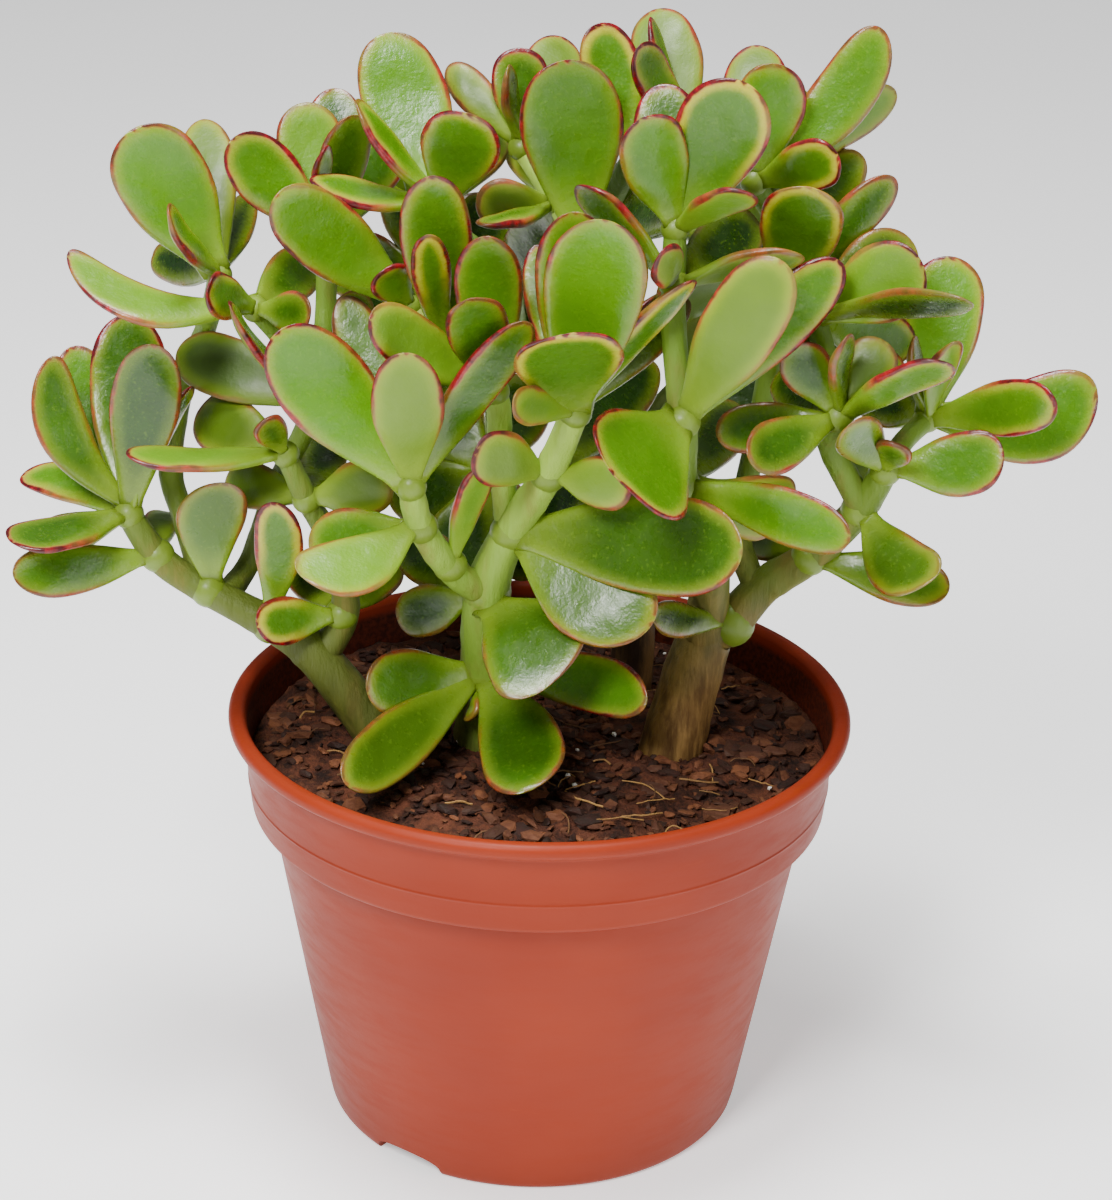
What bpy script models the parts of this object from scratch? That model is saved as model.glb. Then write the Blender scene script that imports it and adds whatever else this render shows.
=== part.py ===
"""A jade plant in a 17 cm nursery pot: four rooted cuttings, their leaves in clusters, the mix and the pot.

The pot stands on z = 0 with its axis on the world's Z. Sizes here are in millimetres, and meshes are made in
metres. The plant is laid out as it is seen from in front and a little above, on a sheet that leans back:
every plan point is (across, up, toward), as drawn on the sheet and measured from it toward the eye.
"""

import math

import bmesh
import bpy
import numpy as np
from mathutils import Matrix, Vector
from mathutils.bvhtree import BVHTree
from mathutils.geometry import intersect_point_line

MM = 0.001

# Pot
POT_HEIGHT = 120.0
RIM_RADIUS = 85.0
FOOT_RADIUS = 58.0
WALL = 1.5
FLOOR = 2.0
COLLAR_HEIGHT = 28.0
COLLAR_STEP = 5.5
LIP_HEIGHT = 4.0
LIP_WIDTH = 4.6
LIP_ROUND = 1.2
COLLAR_INSET = 3.9
POT_SIDES = 48
NOTCHES = 3
NOTCH_WIDTH = 22.0
NOTCH_HEIGHT = 5.0
NOTCH_DEPTH = 11.0
NOTCH_SILL = 1.0
NOTCH_STEPS = 12
FIRST_NOTCH = math.radians(-36)

# Potting mix
SOIL_DEPTH_BELOW_RIM = 12.5
SOIL_CROWN = 3.0
SOIL_UNEVEN = 0.9
SOIL_SIDES = 40
GAP = 0.3

# Plant
PLANT_SCALE = 1.0
LEAF_THICKNESS = 3.6
LEAF_NECK = 0.34
LEAF_WIDEST = 0.61
LEAF_RISE = 1.2
LEAF_TIP = 2.45
LEAF_CUP = 0.07
LEAF_BOW = -0.05
STEM_SCALE = 1.0
BUD_OVER_STEM = 1.6
BUD_SWELL = 1.16
BASE_REACH = 0.7

# The sheet that the plant is laid out on
LOOK_DOWN = math.radians(23.6)
LOOK_DISTANCE = 810.0
LOOK_OVER_SOIL = 42.5

SOIL_TOP = POT_HEIGHT - SOIL_DEPTH_BELOW_RIM
RIGHT = Vector((1, 0, 0))
UPWARD = Vector((0, math.sin(LOOK_DOWN), math.cos(LOOK_DOWN)))
TO_EYE = Vector((0, -math.cos(LOOK_DOWN), math.sin(LOOK_DOWN)))
SHEET = Vector((0, 0, SOIL_TOP + LOOK_OVER_SOIL))
EYE = SHEET + TO_EYE * LOOK_DISTANCE
ROOT = Vector((0, 0, SOIL_TOP))

# Each cutting: its branches, as plan points with the stem's radius there. Every branch after the first starts
# inside one before it.
CUTTINGS = {
    "stem_left": (
        ((-34, -50, -18, 7.0), (-41, -40, -9, 6.8), (-60, -17, 0, 6.0), (-73, -8, 4, 4.8), (-94, 3, 6, 4.2),
         (-104, 10, 9, 4.1), (-112, 21, 15, 3.4)),
        ((-60, -17, 0, 4.4), (-53, -4, 4, 3.8), (-57, 14, 14, 3.2), (-64, 26, 24, 3.2), (-70, 38, 33, 2.8)),
        ((-86, -1, 5, 3.7), (-79, 9, -3, 3.2), (-72, 30, 6, 3.0), (-62, 52, 28, 3.0), (-60, 76, 30, 2.8),
         (-60, 96, 33, 2.6)),
        ((-62, 52, 28, 2.8), (-70, 67, 35, 2.7), (-79, 77, 44, 2.6)),
        ((-91, 2, 6, 3.6), (-97, 20, 2, 3.2), (-101, 34, 2, 3.2), (-98, 56, -4, 3.0), (-92, 72, 14, 2.8),
         (-89, 86, 36, 2.7)),
    ),
    "stem_middle": (
        ((-16, -52, -18, 7.6), (-16, -38, -12, 7.2), (-15, -19, 0, 7.0), (-15, 2, 17, 6.4), (-9, 18, 28, 4.8),
         (1, 34, 43, 4.3), (8, 51, 60, 3.6)),
        ((8, 51, 58, 3.2), (9, 60, 48, 3.1), (8, 78, 41, 3.0), (8, 98, 42, 2.8)),
        ((8, 96, 41, 2.8), (2, 107, 36, 2.8), (-8, 122, 36, 2.6)),
        ((-15, 2, 17, 4.5), (-24, 7, 28, 3.9), (-33, 19, 42, 3.7), (-36, 30, 51, 3.3)),
        ((-9, 18, 26, 3.8), (-12, 38, 38, 3.2), (-14, 56, 52, 3.2), (-28, 68, 44, 3.0), (-37, 79, 44, 2.8)),
        ((-14, 56, 52, 2.9), (-24, 82, 48, 2.8), (-29, 106, 52, 2.7)),
    ),
    "stem_right": (
        ((33, -52, -18, 9.0), (36, -38, -12, 8.6), (44, -10, -2, 7.4), (51, -5, 0, 5.6), (60, 5, 4, 4.8),
         (72, 13, 11, 4.5), (85, 26, 21, 4.2), (92, 37, 32, 3.6)),
        ((44, -10, -2, 6.5), (45, 8, 12, 5.4), (40, 22, 30, 4.6), (37, 32, 44, 4.3), (37, 49, 56, 4.0)),
        ((37, 49, 55, 3.4), (34, 75, 58, 3.2), (34, 101, 64, 2.9)),
        ((86, 27, 22, 3.8), (77, 44, 35, 3.6), (79, 51, 46, 3.4)),
        ((79, 51, 45, 3.2), (76, 65, 46, 3.0), (72, 78, 50, 2.8)),
        ((76, 65, 46, 2.9), (67, 76, 42, 2.8), (64, 84, 42, 2.7)),
        ((92, 37, 30, 3.2), (97, 45, 22, 3.0), (103, 51, 17, 2.9)),
        ((58, 4, 3, 3.8), (53, 20, 2, 3.2), (58, 50, 8, 3.1), (62, 80, 18, 3.0), (62, 100, 27, 2.9),
         (55, 114, 44, 2.7)),
    ),
    "stem_back": (
        ((23, -37, -51, 7.0), (24, -22, -44, 6.8), (25, -4, -34, 6.0), (20, 40, -28, 4.6), (14, 72, -17, 4.0),
         (12, 96, 0, 3.4), (23, 122, 42, 2.7)),
        ((12, 96, 0, 3.0), (24, 112, 18, 2.9), (38, 125, 38, 2.7)),
        ((20, 40, -28, 3.8), (0, 62, -32, 3.4), (-30, 84, -28, 3.0)),
        ((14, 72, -17, 3.4), (-10, 88, -6, 3.0), (-36, 106, -2, 2.7)),
        ((20, 40, -28, 3.6), (38, 60, -28, 3.2), (55, 75, -24, 2.8)),
        ((24, -6, -36, 3.8), (8, 14, -42, 3.4), (-15, 34, -40, 2.9)),
        ((38, 60, -28, 3.0), (40, 82, -22, 2.9), (40, 100, -14, 2.7)),
    ),
}

# Each cluster of leaves: where its node is, and its leaves as (across, up, toward) of the tip, the leaf's
# width and how far it is rolled round its midrib, in degrees: 0 shows the upper side, 90 the edge and 180
# the underside. A row may go on with its bow and its sideways sweep, as shares of its length, and with the
# (across, up, toward) that its base is moved by from the node.
CLUSTERS = {
    "leaves_left_end": ((-112, 21, 15), (
        (-106, 67, 36, 18, 0), (-113, 75, 10, 21, 0), (-95, 57, 30, 13, 72), (-128, 66, 8, 17, 10),
        (-134, 63, 26, 14, 8, -0.04, -0.13), (-141, 31, -2, 13, 30, -0.05, 0.12), (-144, 13, 38, 17, 56),
        (-137, 12, -12, 12, 175))),
    "leaves_left_elbow": ((-104, 10, 9), (
        (-143, 4, 26, 14, 5, -0.05, -0.02), (-103, 22, -16, 10, 180))),
    "leaves_left_node": ((-90, 1, 6), (
        (-86, 30, 26, 18, 5, -0.05, -0.08),)),
    "leaves_left_low": ((-73, -8, 4), (
        (-73, 25, 27, 13, 0, -0.05, 0.05),)),
    "leaves_left_inner_low": ((-54, -5, 4), (
        (-77, -8, 22, 13, 0), (-40, 12, -14, 14, 0), (-67, 9, -10, 12, 0))),
    "leaves_left_fork": ((-64, 26, 24), (
        (-41, 31, 36, 15, 185), (-86, 31, 4, 13, 180), (-56, 48, -2, 14, 0))),
    "leaves_left_mid": ((-70, 38, 33), (
        (-113, 37, 50, 13, 62), (-94, 49, 12, 17, 180), (-76, 47, 50, 9, 0))),
    "leaves_left_inner": ((-62, 52, 28), (
        (-101, 66, 12, 18, 190), (-86, 78, 68, 12, 78), (-50, 82, 4, 14, 0))),
    "leaves_left_upper": ((-79, 77, 44), (
        (-130, 91, 48, 15, 48, -0.02, -0.22), (-92, 82, 68, 12, 15),
        (-64, 76, 60, 11, 0), (-63, 92, 18, 14, 0))),
    "leaves_left_top": ((-89, 86, 36), (
        (-113, 125, 55, 24, 0), (-103, 103, 66, 12, 66), (-94, 128, 18, 15, 175),
        (-81, 108, 6, 9, 0), (-107, 91, 8, 12, 0))),
    "leaves_top_left": ((-60, 96, 33), (
        (-86, 123, 44, 17, 0), (-67, 133, 34, 18, 5), (-58, 137, 14, 17, 0), (-53, 130, 54, 13, 20),
        (-61, 121, 62, 9, 60), (-39, 129, 24, 14, 0))),
    "leaves_upper_left": ((-37, 79, 44), (
        (-74, 108, 72, 19, 0), (-45, 88, 62, 11, 0))),
    "leaves_top_mid_left": ((-29, 106, 52), (
        (-46, 152, 52, 22, 0), (-53, 134, 64, 12, 66), (-22, 131, 80, 20, 0), (-65, 112, 66, 12, 58),
        (-14, 128, 20, 13, 180))),
    "leaves_mid_left": ((-28, 68, 44), (
        (-32, 114, 68, 18, 0), (-33, 98, 81, 10, 8))),
    "leaves_centre_left": ((-14, 56, 52), (
        (-48, 76, 84, 15, 16), (-21, 81, 84, 16, 0), (-17, 98, 74, 17, 0), (-2, 86, 40, 13, 180))),
    "leaves_front_left": ((-36, 30, 51), (
        (-73, 71, 74, 23, 0), (-38, 66, 82, 18, 178), (-5, 75, 78, 14, 34), (-55, 81, 46, 14, 0),
        (-57, 67, 58, 10, 20))),
    "leaves_front_left_low": ((-33, 19, 42), (
        (-66, 6, 60, 18, 30, -0.05, -0.1), (-63, 12, 32, 18, 0))),
    "leaves_middle_node": ((-15, 2, 17), (
        (0, -25, 42, 29, 0, 0.05, -0.16),
        (-39, -6, 4, 14, 0), (-39, 15, -8, 15, 0))),
    "leaves_middle_spur": ((-25, 9, 30), (
        (-16, 36, 54, 9, 30),)),
    "leaves_middle_fork": ((-9, 18, 28), (
        (54, 14, 64, 26, 0), (30, -6, 42, 24, 0, 0.02, 0.06), (12, 32, -4, 13, 0))),
    "leaves_middle_upper": ((1, 34, 43), (
        (-19, 40, 64, 15, 170), (24, 31, 58, 14, 190), (24, 38, 4, 14, 0), (29, 65, 2, 16, 0))),
    "leaves_middle_foot": ((-15, -19, 0), (
        (-47, -25, 24, 18, 0), (29, -27, 26, 16, 0, -0.05, -0.05), (-52, -51, 34, 17, 0),
        (-3, -52, 36, 23, 0, -0.05, -0.06), (-19, -33, 6, 8, 70))),
    "leaves_centre": ((8, 51, 60), (
        (5, 72, 98, 27, 0), (15, 103, 97, 25, 0), (7, 105, 82, 20, 0), (43, 91, 80, 13, 60),
        (32, 87, 66, 11, 76), (38, 82, 50, 10, 0), (-9, 53, 84, 10, 0), (-3, 96, 46, 13, 0))),
    "leaves_top_mid": ((8, 98, 42), (
        (4, 146, 60, 26, 0),)),
    "leaves_top_mid_back": ((2, 107, 36), (
        (-20, 107, 46, 13, 165), (-19, 101, 52, 9, 66), (-10, 124, 20, 10, 180), (-9, 90, 4, 14, 0))),
    "leaves_top_crown": ((-8, 122, 36), (
        (-9, 149, 44, 15, 0), (-12, 144, 50, 8, 66), (-28, 144, 34, 10, 180),
        (3, 152, 20, 16, 180))),
    "leaves_right_mid": ((37, 49, 56), (
        (18, 35, 86, 32, 0, -0.05, -0.1), (63, 93, 86, 20, 175), (79, 93, 66, 16, 10))),
    "leaves_right_knee": ((37, 32, 44), (
        (83, 18, 66, 15, 18), (68, 30, 22, 17, 180, -0.05, -0.14), (20, 22, 12, 15, 0), (52, 54, 6, 15, 0))),
    "leaves_right_inner": ((34, 86, 61), (
        (7, 112, 65, 15, -62), (30, 94, 78, 11, 58), (69, 94, 70, 12, 60), (56, 104, 40, 16, 0))),
    "leaves_right_upper": ((34, 101, 64), (
        (25, 131, 84, 18, 15), (30, 140, 66, 17, 0), (52, 141, 78, 23, 0), (54, 111, 88, 13, 55),
        (36, 127, 72, 6, 0), (20, 107, 28, 13, 0))),
    "leaves_crown_mid": ((23, 122, 42), (
        (12, 156, 48, 15, 0), (2, 138, 12, 13, 180))),
    "leaves_crown_right": ((38, 125, 38), (
        (27, 160, 34, 18, 180), (26, 158, 50, 11, 76), (23, 150, 54, 12, 30))),
    "leaves_right_crown": ((55, 114, 44), (
        (78, 121, 58, 14, 14), (89, 156, 54, 16, 0, -0.05, 0.07), (61, 146, 58, 18, 0), (55, 151, 30, 17, 178),
        (93, 139, 34, 14, 30))),
    "leaves_right_back": ((62, 100, 27), (
        (84, 122, 34, 13, 0), (66, 140, 10, 14, 0), (80, 100, 4, 14, 0))),
    "leaves_right_round": ((64, 84, 42), (
        (70, 113, 74, 21, 0), (93, 116, 52, 12, 20))),
    "leaves_right_bowl": ((72, 78, 50), (
        (101, 93, 74, 20, 0), (98, 99, 46, 18, 0), (99, 70, 12, 15, 0), (114, 83, 84, 14, 62, -0.05, 0.04))),
    "leaves_right_spray": ((79, 51, 46), (
        (109, 66, 74, 14, 54), (95, 68, 36, 13, 0), (81, 73, 68, 9, 60), (91, 72, 52, 14, 180),
        (46, 46, 46, 13, 0), (55, 39, 62, 14, 0), (66, 70, 58, 13, 0), (62, 62, 6, 14, 0))),
    "leaves_right_end": ((92, 37, 32), (
        (95, 44, 54, 10, 0), (124, 42, 44, 17, 0, -0.05, 0.05), (82, 49, 56, 13, 0))),
    "leaves_right_far": ((103, 51, 17), (
        (109, 95, 22, 21, 0), (149, 59, 20, 23, 0, -0.05, 0.12), (138, 56, 46, 15, 8), (110, 72, 46, 9, 40),
        (99, 73, 38, 7, 60), (85, 57, -8, 13, 0))),
    "leaves_right_low": ((85, 26, 21), (
        (106, 8, 42, 17, 0, -0.05, 0.14), (84, 46, -16, 12, 180))),
    "leaves_right_lowest": ((72, 13, 11), (
        (110, 5, 22, 14, 0), (54, 20, -14, 12, 180))),
    "leaves_trunk": ((51, -5, 0), (
        (30, -4, 34, 10, 12),)),
    "leaves_back_high_left": ((-36, 106, -2), 3),
    "leaves_back_left": ((-30, 84, -28), (
        (-58, 68, -22, 21, 0), (-62, 92, -34, 20, 0), (-40, 118, -34, 20, 0), (-14, 108, -34, 19, 0),
        (-8, 72, -52, 18, 0), (-32, 52, -34, 19, 0), (-34, 84, -70, 17, 180))),
    "leaves_back_right": ((55, 75, -24), (
        (86, 70, -16, 20, 0), (84, 92, -32, 19, 0), (60, 106, -34, 19, 0), (30, 86, -34, 18, 0),
        (52, 44, -26, 19, 0), (60, 76, -66, 17, 180))),
    "leaves_back_low": ((-15, 34, -40), (
        (-27, 4, -34, 20, 0), (-42, 26, -46, 18, 0), (-2, 6, -62, 19, 0), (-4, 60, -50, 20, 0),
        (-34, 56, -46, 20, 0), (-12, 30, -84, 17, 180))),
    "leaves_back_high_right": ((40, 100, -14), 3),
    "leaves_back_mid": ((14, 72, -17), 1),
}

# A cluster with a number of pairs for its rows faces away from the eye: crossed pairs round an axis that
# leans outward, each pair as (lean from the axis, length, width).
BACK_PAIRS = ((58, 40, 20), (34, 38, 17), (12, 26, 12))
BACK_TURN = math.radians(90)

# Settling: leaves that touch move apart along the line of sight, and the farther one is then drawn in.
SETTLE_ROUNDS = 110
SETTLE_STEP = 1.2
SETTLE_GAP = 0.45
SETTLE_REACH = 14.0
DRAW_IN_FROM = 24
DRAW_IN = 0.965

GREENS = ((0.10, 0.22, 0.03), (0.14, 0.28, 0.05), (0.07, 0.17, 0.03), (0.18, 0.30, 0.08))


def place(across, up, toward):
    """The world point of a plan point, grown from the root by the plant's scale."""
    drawn = SHEET + RIGHT * across + UPWARD * up
    point = EYE + (drawn - EYE) * ((LOOK_DISTANCE - toward) / LOOK_DISTANCE)
    return ROOT + (point - ROOT) * PLANT_SCALE


def outline(along):
    """Half the leaf's width as a share of its widest, from its narrow base to its round tip."""
    if along < LEAF_WIDEST:
        rise = math.sin(0.5 * math.pi * along / LEAF_WIDEST) ** LEAF_RISE
        return LEAF_NECK + (1 - LEAF_NECK) * rise
    past = (along - LEAF_WIDEST) / (1 - LEAF_WIDEST)
    return math.sqrt(max(0.0, 1 - past ** LEAF_TIP))


class Leaf:
    """One leaf: its midrib from base to tip, its width, and the way its upper side faces."""

    def __init__(self, cluster, base, tip, width, face, bow=LEAF_BOW, sweep=0.0):
        self.cluster = cluster
        self.base = base
        self.tip = tip
        self.width = width * PLANT_SCALE
        self.face = face
        self.bow = bow
        self.sweep = sweep
        self.moved = 0.0

    def frame(self):
        """The leaf's length, and its unit vectors along, sideways and out of its upper side."""
        run = self.tip - self.base
        length = run.length
        along = run / length
        face = self.face
        if isinstance(face, float):
            eye = (EYE - self.base).normalized()
            out = eye - along * eye.dot(along)
            if out.length < 0.25:
                out = UPWARD - along * UPWARD.dot(along)
            out = Matrix.Rotation(face, 3, along) @ out.normalized()
        else:
            out = (face - along * face.dot(along)).normalized()
        return length, along, along.cross(out), out

    def point(self, along_share, side_share, lift):
        """The point at a share of the length, a share of the local half width, and a height off the middle."""
        length, along, side, out = self.frame()
        arch = 4 * along_share * (1 - along_share)
        half = 0.5 * self.width * outline(along_share)
        middle = self.base + along * (length * along_share) + out * (self.bow * length * arch)
        middle += side * (self.sweep * length * arch)
        return middle + side * (half * side_share) + out * (lift + LEAF_CUP * half * side_share ** 2)


CAD_STATIONS = (0.0, 0.36, 0.72, 0.98)
FREE_STATIONS = (0.2, 0.36, 0.72, 0.98)
END_STATIONS = (0.45, 0.72, 0.98)
CAD_SECTION = ((-1, 0), (-0.5, 1), (0.5, 1), (1, 0), (0.5, -1), (-0.5, -1))


def thickness(along):
    """The leaf's thickness as a share of its greatest: it thins toward the tip."""
    return 0.9 + 0.1 * math.sin(math.pi * along) - 0.45 * along ** 3


def plain_leaf(leaf, swell=0.0, stations=CAD_STATIONS):
    """Points and faces of the leaf as a closed six-sided solid."""
    points = []
    for along in stations:
        half = max(0.5 * leaf.width * outline(along), 0.1)
        lift = 0.5 * LEAF_THICKNESS * thickness(along) + swell
        for side, height in CAD_SECTION:
            points.append(leaf.point(along, side * (1 + swell / half), height * lift))
    count = len(CAD_SECTION)
    faces = [tuple(reversed(range(count)))]
    for ring in range(len(stations) - 1):
        for corner in range(count):
            after = (corner + 1) % count
            low = ring * count
            high = low + count
            faces.append((low + corner, low + after, high + after, high + corner))
    top = (len(stations) - 1) * count
    faces.append(tuple(range(top, top + count)))
    return points, faces


def front_leaves(name, node, rows):
    """The leaves of a cluster that is laid out leaf by leaf."""
    leaves = []
    bud = bud_radius(place(*node))
    for across, up, toward, width, roll, *more in rows:
        bow, sweep, shift = (*more, *(LEAF_BOW, 0.0, (0, 0, 0))[len(more):])
        base = place(*(place_part + moved for place_part, moved in zip(node, shift)))
        tip = place(across, up, toward)
        base += (tip - base).normalized() * BASE_REACH * bud
        leaves.append(Leaf(name, base, tip, width, math.radians(roll), bow, sweep))
    return leaves


def back_leaves(name, node, pairs):
    """The leaves of a cluster that faces away: crossed pairs round an axis that leans outward."""
    centre = place(*node)
    bud = bud_radius(centre)
    outward = Vector((centre.x, centre.y, 0)).normalized()
    axis = (outward * 0.8 + Vector((0, 0, 1))).normalized()
    across = axis.cross(Vector((0, 0, 1))).normalized()
    leaves = []
    for pair, (lean, length, width) in enumerate(BACK_PAIRS[:pairs]):
        for half in range(2):
            turned = Matrix.Rotation(pair * BACK_TURN + half * math.pi, 3, axis) @ across
            run = axis * math.cos(math.radians(lean)) + turned * math.sin(math.radians(lean))
            base = centre + run * BASE_REACH * bud
            leaves.append(Leaf(name, base, centre + run * length * PLANT_SCALE, width, axis))
    return leaves


def branch_points(branch, steps=2):
    """Points and radii along a branch, on a smooth curve through its plan points."""
    knots = [place(across, up, toward) for across, up, toward, radius in branch]
    radii = [radius * STEM_SCALE * PLANT_SCALE for *plan, radius in branch]
    points, widths = [], []
    for index in range(len(knots) - 1):
        before = knots[max(index - 1, 0)]
        start, end = knots[index], knots[index + 1]
        after = knots[min(index + 2, len(knots) - 1)]
        for step in range(steps):
            t = step / steps
            leave, arrive = (end - before) * 0.5, (after - start) * 0.5
            point = start * (2 * t**3 - 3 * t**2 + 1) + leave * (t**3 - 2 * t**2 + t)
            points.append(point + end * (3 * t**2 - 2 * t**3) + arrive * (t**3 - t**2))
            widths.append(radii[index] + (radii[index + 1] - radii[index]) * t)
    return points + [knots[-1]], widths + [radii[-1]]


def tube(points, radii, sides=6):
    """Points and faces of a closed tube along a line of points."""
    turned = (points[1] - points[0]).orthogonal().normalized()
    rings, faces = [], [tuple(reversed(range(sides)))]
    for index, (point, radius) in enumerate(zip(points, radii)):
        run = (points[min(index + 1, len(points) - 1)] - points[max(index - 1, 0)]).normalized()
        turned = (turned - run * turned.dot(run)).normalized()
        third = run.cross(turned)
        for corner in range(sides):
            angle = 2 * math.pi * corner / sides
            rings.append(point + (turned * math.cos(angle) + third * math.sin(angle)) * radius)
    for index in range(len(points) - 1):
        low = index * sides
        for corner in range(sides):
            after = (corner + 1) % sides
            faces.append((low + corner, low + after, low + sides + after, low + sides + corner))
    last = (len(points) - 1) * sides
    faces.append(tuple(range(last, last + sides)))
    return rings, faces


def stem_radius_at(point):
    """The radius of the thickest stem that a point lies inside."""
    thickest = 0.0
    for branches in CUTTINGS.values():
        for branch in branches:
            line, radii = branch_points(branch)
            for index in range(len(line) - 1):
                near, share = intersect_point_line(point, line[index], line[index + 1])
                share = max(0.0, min(1.0, share))
                near = line[index].lerp(line[index + 1], share)
                radius = radii[index] + (radii[index + 1] - radii[index]) * share
                if (near - point).length < radius:
                    thickest = max(thickest, radius)
    return thickest


def bud_radius(point):
    """The radius of the swelling that a node's leaves grow out of."""
    return (stem_radius_at(point) + BUD_OVER_STEM * STEM_SCALE * PLANT_SCALE) * BUD_SWELL


def tree_of(shape):
    points, faces = shape
    return BVHTree.FromPolygons([point[:] for point in points], faces)


def bounds_of(shape):
    points = np.array([point[:] for point in shape[0]])
    return points.min(axis=0), points.max(axis=0)


def settle(leaves, nodes):
    """Move leaf tips along the line of sight until no leaf meets a stem, a node or another leaf."""
    fixed = []
    for branches in CUTTINGS.values():
        for branch in branches:
            shape = tube(*branch_points(branch))
            fixed.append((None, shape, tree_of(shape), bounds_of(shape)))
    for name, (centre, radius) in nodes.items():
        low = centre - Vector((0, 0, radius))
        high = centre + Vector((0, 0, radius))
        shape = tube([low, centre, high], [0.4 * radius, radius, 0.4 * radius])
        fixed.append((name, shape, tree_of(shape), bounds_of(shape)))

    def outer(leaf):
        shape = plain_leaf(leaf, SETTLE_GAP, FREE_STATIONS)
        return tree_of(shape), bounds_of(shape)

    def whole(leaf):
        shape = plain_leaf(leaf, SETTLE_GAP)
        return tree_of(shape), bounds_of(shape)

    def end(leaf):
        shape = plain_leaf(leaf, SETTLE_GAP, END_STATIONS)
        return tree_of(shape), bounds_of(shape)

    def apart(one, two):
        return (one[1] < two[0]).any() or (two[1] < one[0]).any()

    outers = [outer(leaf) for leaf in leaves]
    wholes = [whole(leaf) for leaf in leaves]
    ends = [end(leaf) for leaf in leaves]
    for turn in range(SETTLE_ROUNDS):
        moves = [0.0] * len(leaves)
        crowded = set()
        for index, leaf in enumerate(leaves):
            for name, shape, tree, box in fixed:
                if name == leaf.cluster or apart(outers[index][1], box):
                    continue
                if outers[index][0].overlap(tree):
                    middle = (leaf.base + leaf.tip * 2) / 3
                    nearest = tree.find_nearest(middle)[0]
                    inside = sum((Vector(point) for point in shape[0]), Vector()) / len(shape[0])
                    line = nearest if name is None else inside
                    nearer = (middle - line).dot(TO_EYE) > 0
                    moves[index] += SETTLE_STEP if nearer else -SETTLE_STEP
                    crowded.add(index)
            for other in range(index + 1, len(leaves)):
                same = leaf.cluster == leaves[other].cluster
                mine, yours = (ends if same else wholes)[index], (ends if same else wholes)[other]
                if apart(mine[1], yours[1]) or not mine[0].overlap(yours[0]):
                    continue
                gap = (leaf.base + leaf.tip * 2 - leaves[other].base - leaves[other].tip * 2).dot(TO_EYE)
                push = SETTLE_STEP if gap > 0 else -SETTLE_STEP
                moves[index] += push
                moves[other] -= push
                crowded.add(other if gap > 0 else index)
        if not crowded:
            break
        for index, move in enumerate(moves):
            leaf = leaves[index]
            move = max(-2 * SETTLE_STEP, min(2 * SETTLE_STEP, move))
            move = max(-SETTLE_REACH, min(SETTLE_REACH, leaf.moved + move)) - leaf.moved
            leaf.moved += move
            leaf.tip = leaf.tip + (EYE - leaf.tip).normalized() * move
            if turn >= DRAW_IN_FROM and index in crowded:
                leaf.tip = leaf.base + (leaf.tip - leaf.base) * DRAW_IN
                leaf.width *= DRAW_IN
            if move or index in crowded:
                outers[index] = outer(leaf)
                wholes[index] = whole(leaf)
                ends[index] = end(leaf)
    return leaves


def plan():
    """Every leaf in its settled place, and each node's centre and radius."""
    leaves, nodes = [], {}
    for name, (node, rows) in CLUSTERS.items():
        centre = place(*node)
        nodes[name] = (centre, bud_radius(centre))
        leaves += back_leaves(name, node, rows) if isinstance(rows, int) else front_leaves(name, node, rows)
    return settle(leaves, nodes), nodes


def material(name, colour, roughness):
    made = bpy.data.materials.new(name)
    made.use_nodes = True
    shader = made.node_tree.nodes["Principled BSDF"]
    shader.inputs["Base Color"].default_value = (*colour, 1)
    shader.inputs["Roughness"].default_value = roughness
    shader.inputs["Metallic"].default_value = 0.0
    return made


def mesh_object(name, points, faces, finish=None):
    """A mesh object from points in millimetres."""
    mesh = bpy.data.meshes.new(name)
    mesh.from_pydata([Vector(point) * MM for point in points], [], faces)
    bm = bmesh.new()
    bm.from_mesh(mesh)
    bmesh.ops.recalc_face_normals(bm, faces=bm.faces)
    bm.to_mesh(mesh)
    bm.free()
    made = bpy.data.objects.new(name, mesh)
    bpy.context.scene.collection.objects.link(made)
    if finish:
        mesh.materials.append(finish)
    return made


def boolean(target, operation, others):
    """Join or cut the target with the other objects, keep the result as its mesh, and remove the others."""
    group = bpy.data.collections.new("operands")
    for other in others:
        group.objects.link(other)
    step = target.modifiers.new(operation.title(), "BOOLEAN")
    step.operation = operation
    step.operand_type = "COLLECTION"
    step.collection = group
    step.solver = "EXACT"
    bpy.context.view_layer.update()
    result = bpy.data.meshes.new_from_object(target.evaluated_get(bpy.context.evaluated_depsgraph_get()))
    target.modifiers.remove(step)
    result.name = target.data.name
    old = target.data
    target.data = result
    bpy.data.meshes.remove(old)
    for other in others:
        bpy.data.objects.remove(other)
    bpy.data.collections.remove(group)


def turned(name, profile, sides, finish):
    """A closed solid turned round Z from a profile of (radius, height) that starts and ends on the axis."""
    bm = bmesh.new()
    verts = [bm.verts.new((radius * MM, 0, height * MM)) for radius, height in profile]
    edges = [bm.edges.new(pair) for pair in zip(verts, verts[1:])]
    bmesh.ops.spin(
        bm, geom=verts + edges, axis=(0, 0, 1), cent=(0, 0, 0), angle=2 * math.pi, steps=sides, use_merge=True
    )
    bmesh.ops.remove_doubles(bm, verts=bm.verts, dist=0.00001)
    bmesh.ops.recalc_face_normals(bm, faces=bm.faces)
    mesh = bpy.data.meshes.new(name)
    bm.to_mesh(mesh)
    bm.free()
    mesh.materials.append(finish)
    made = bpy.data.objects.new(name, mesh)
    bpy.context.scene.collection.objects.link(made)
    return made


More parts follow.
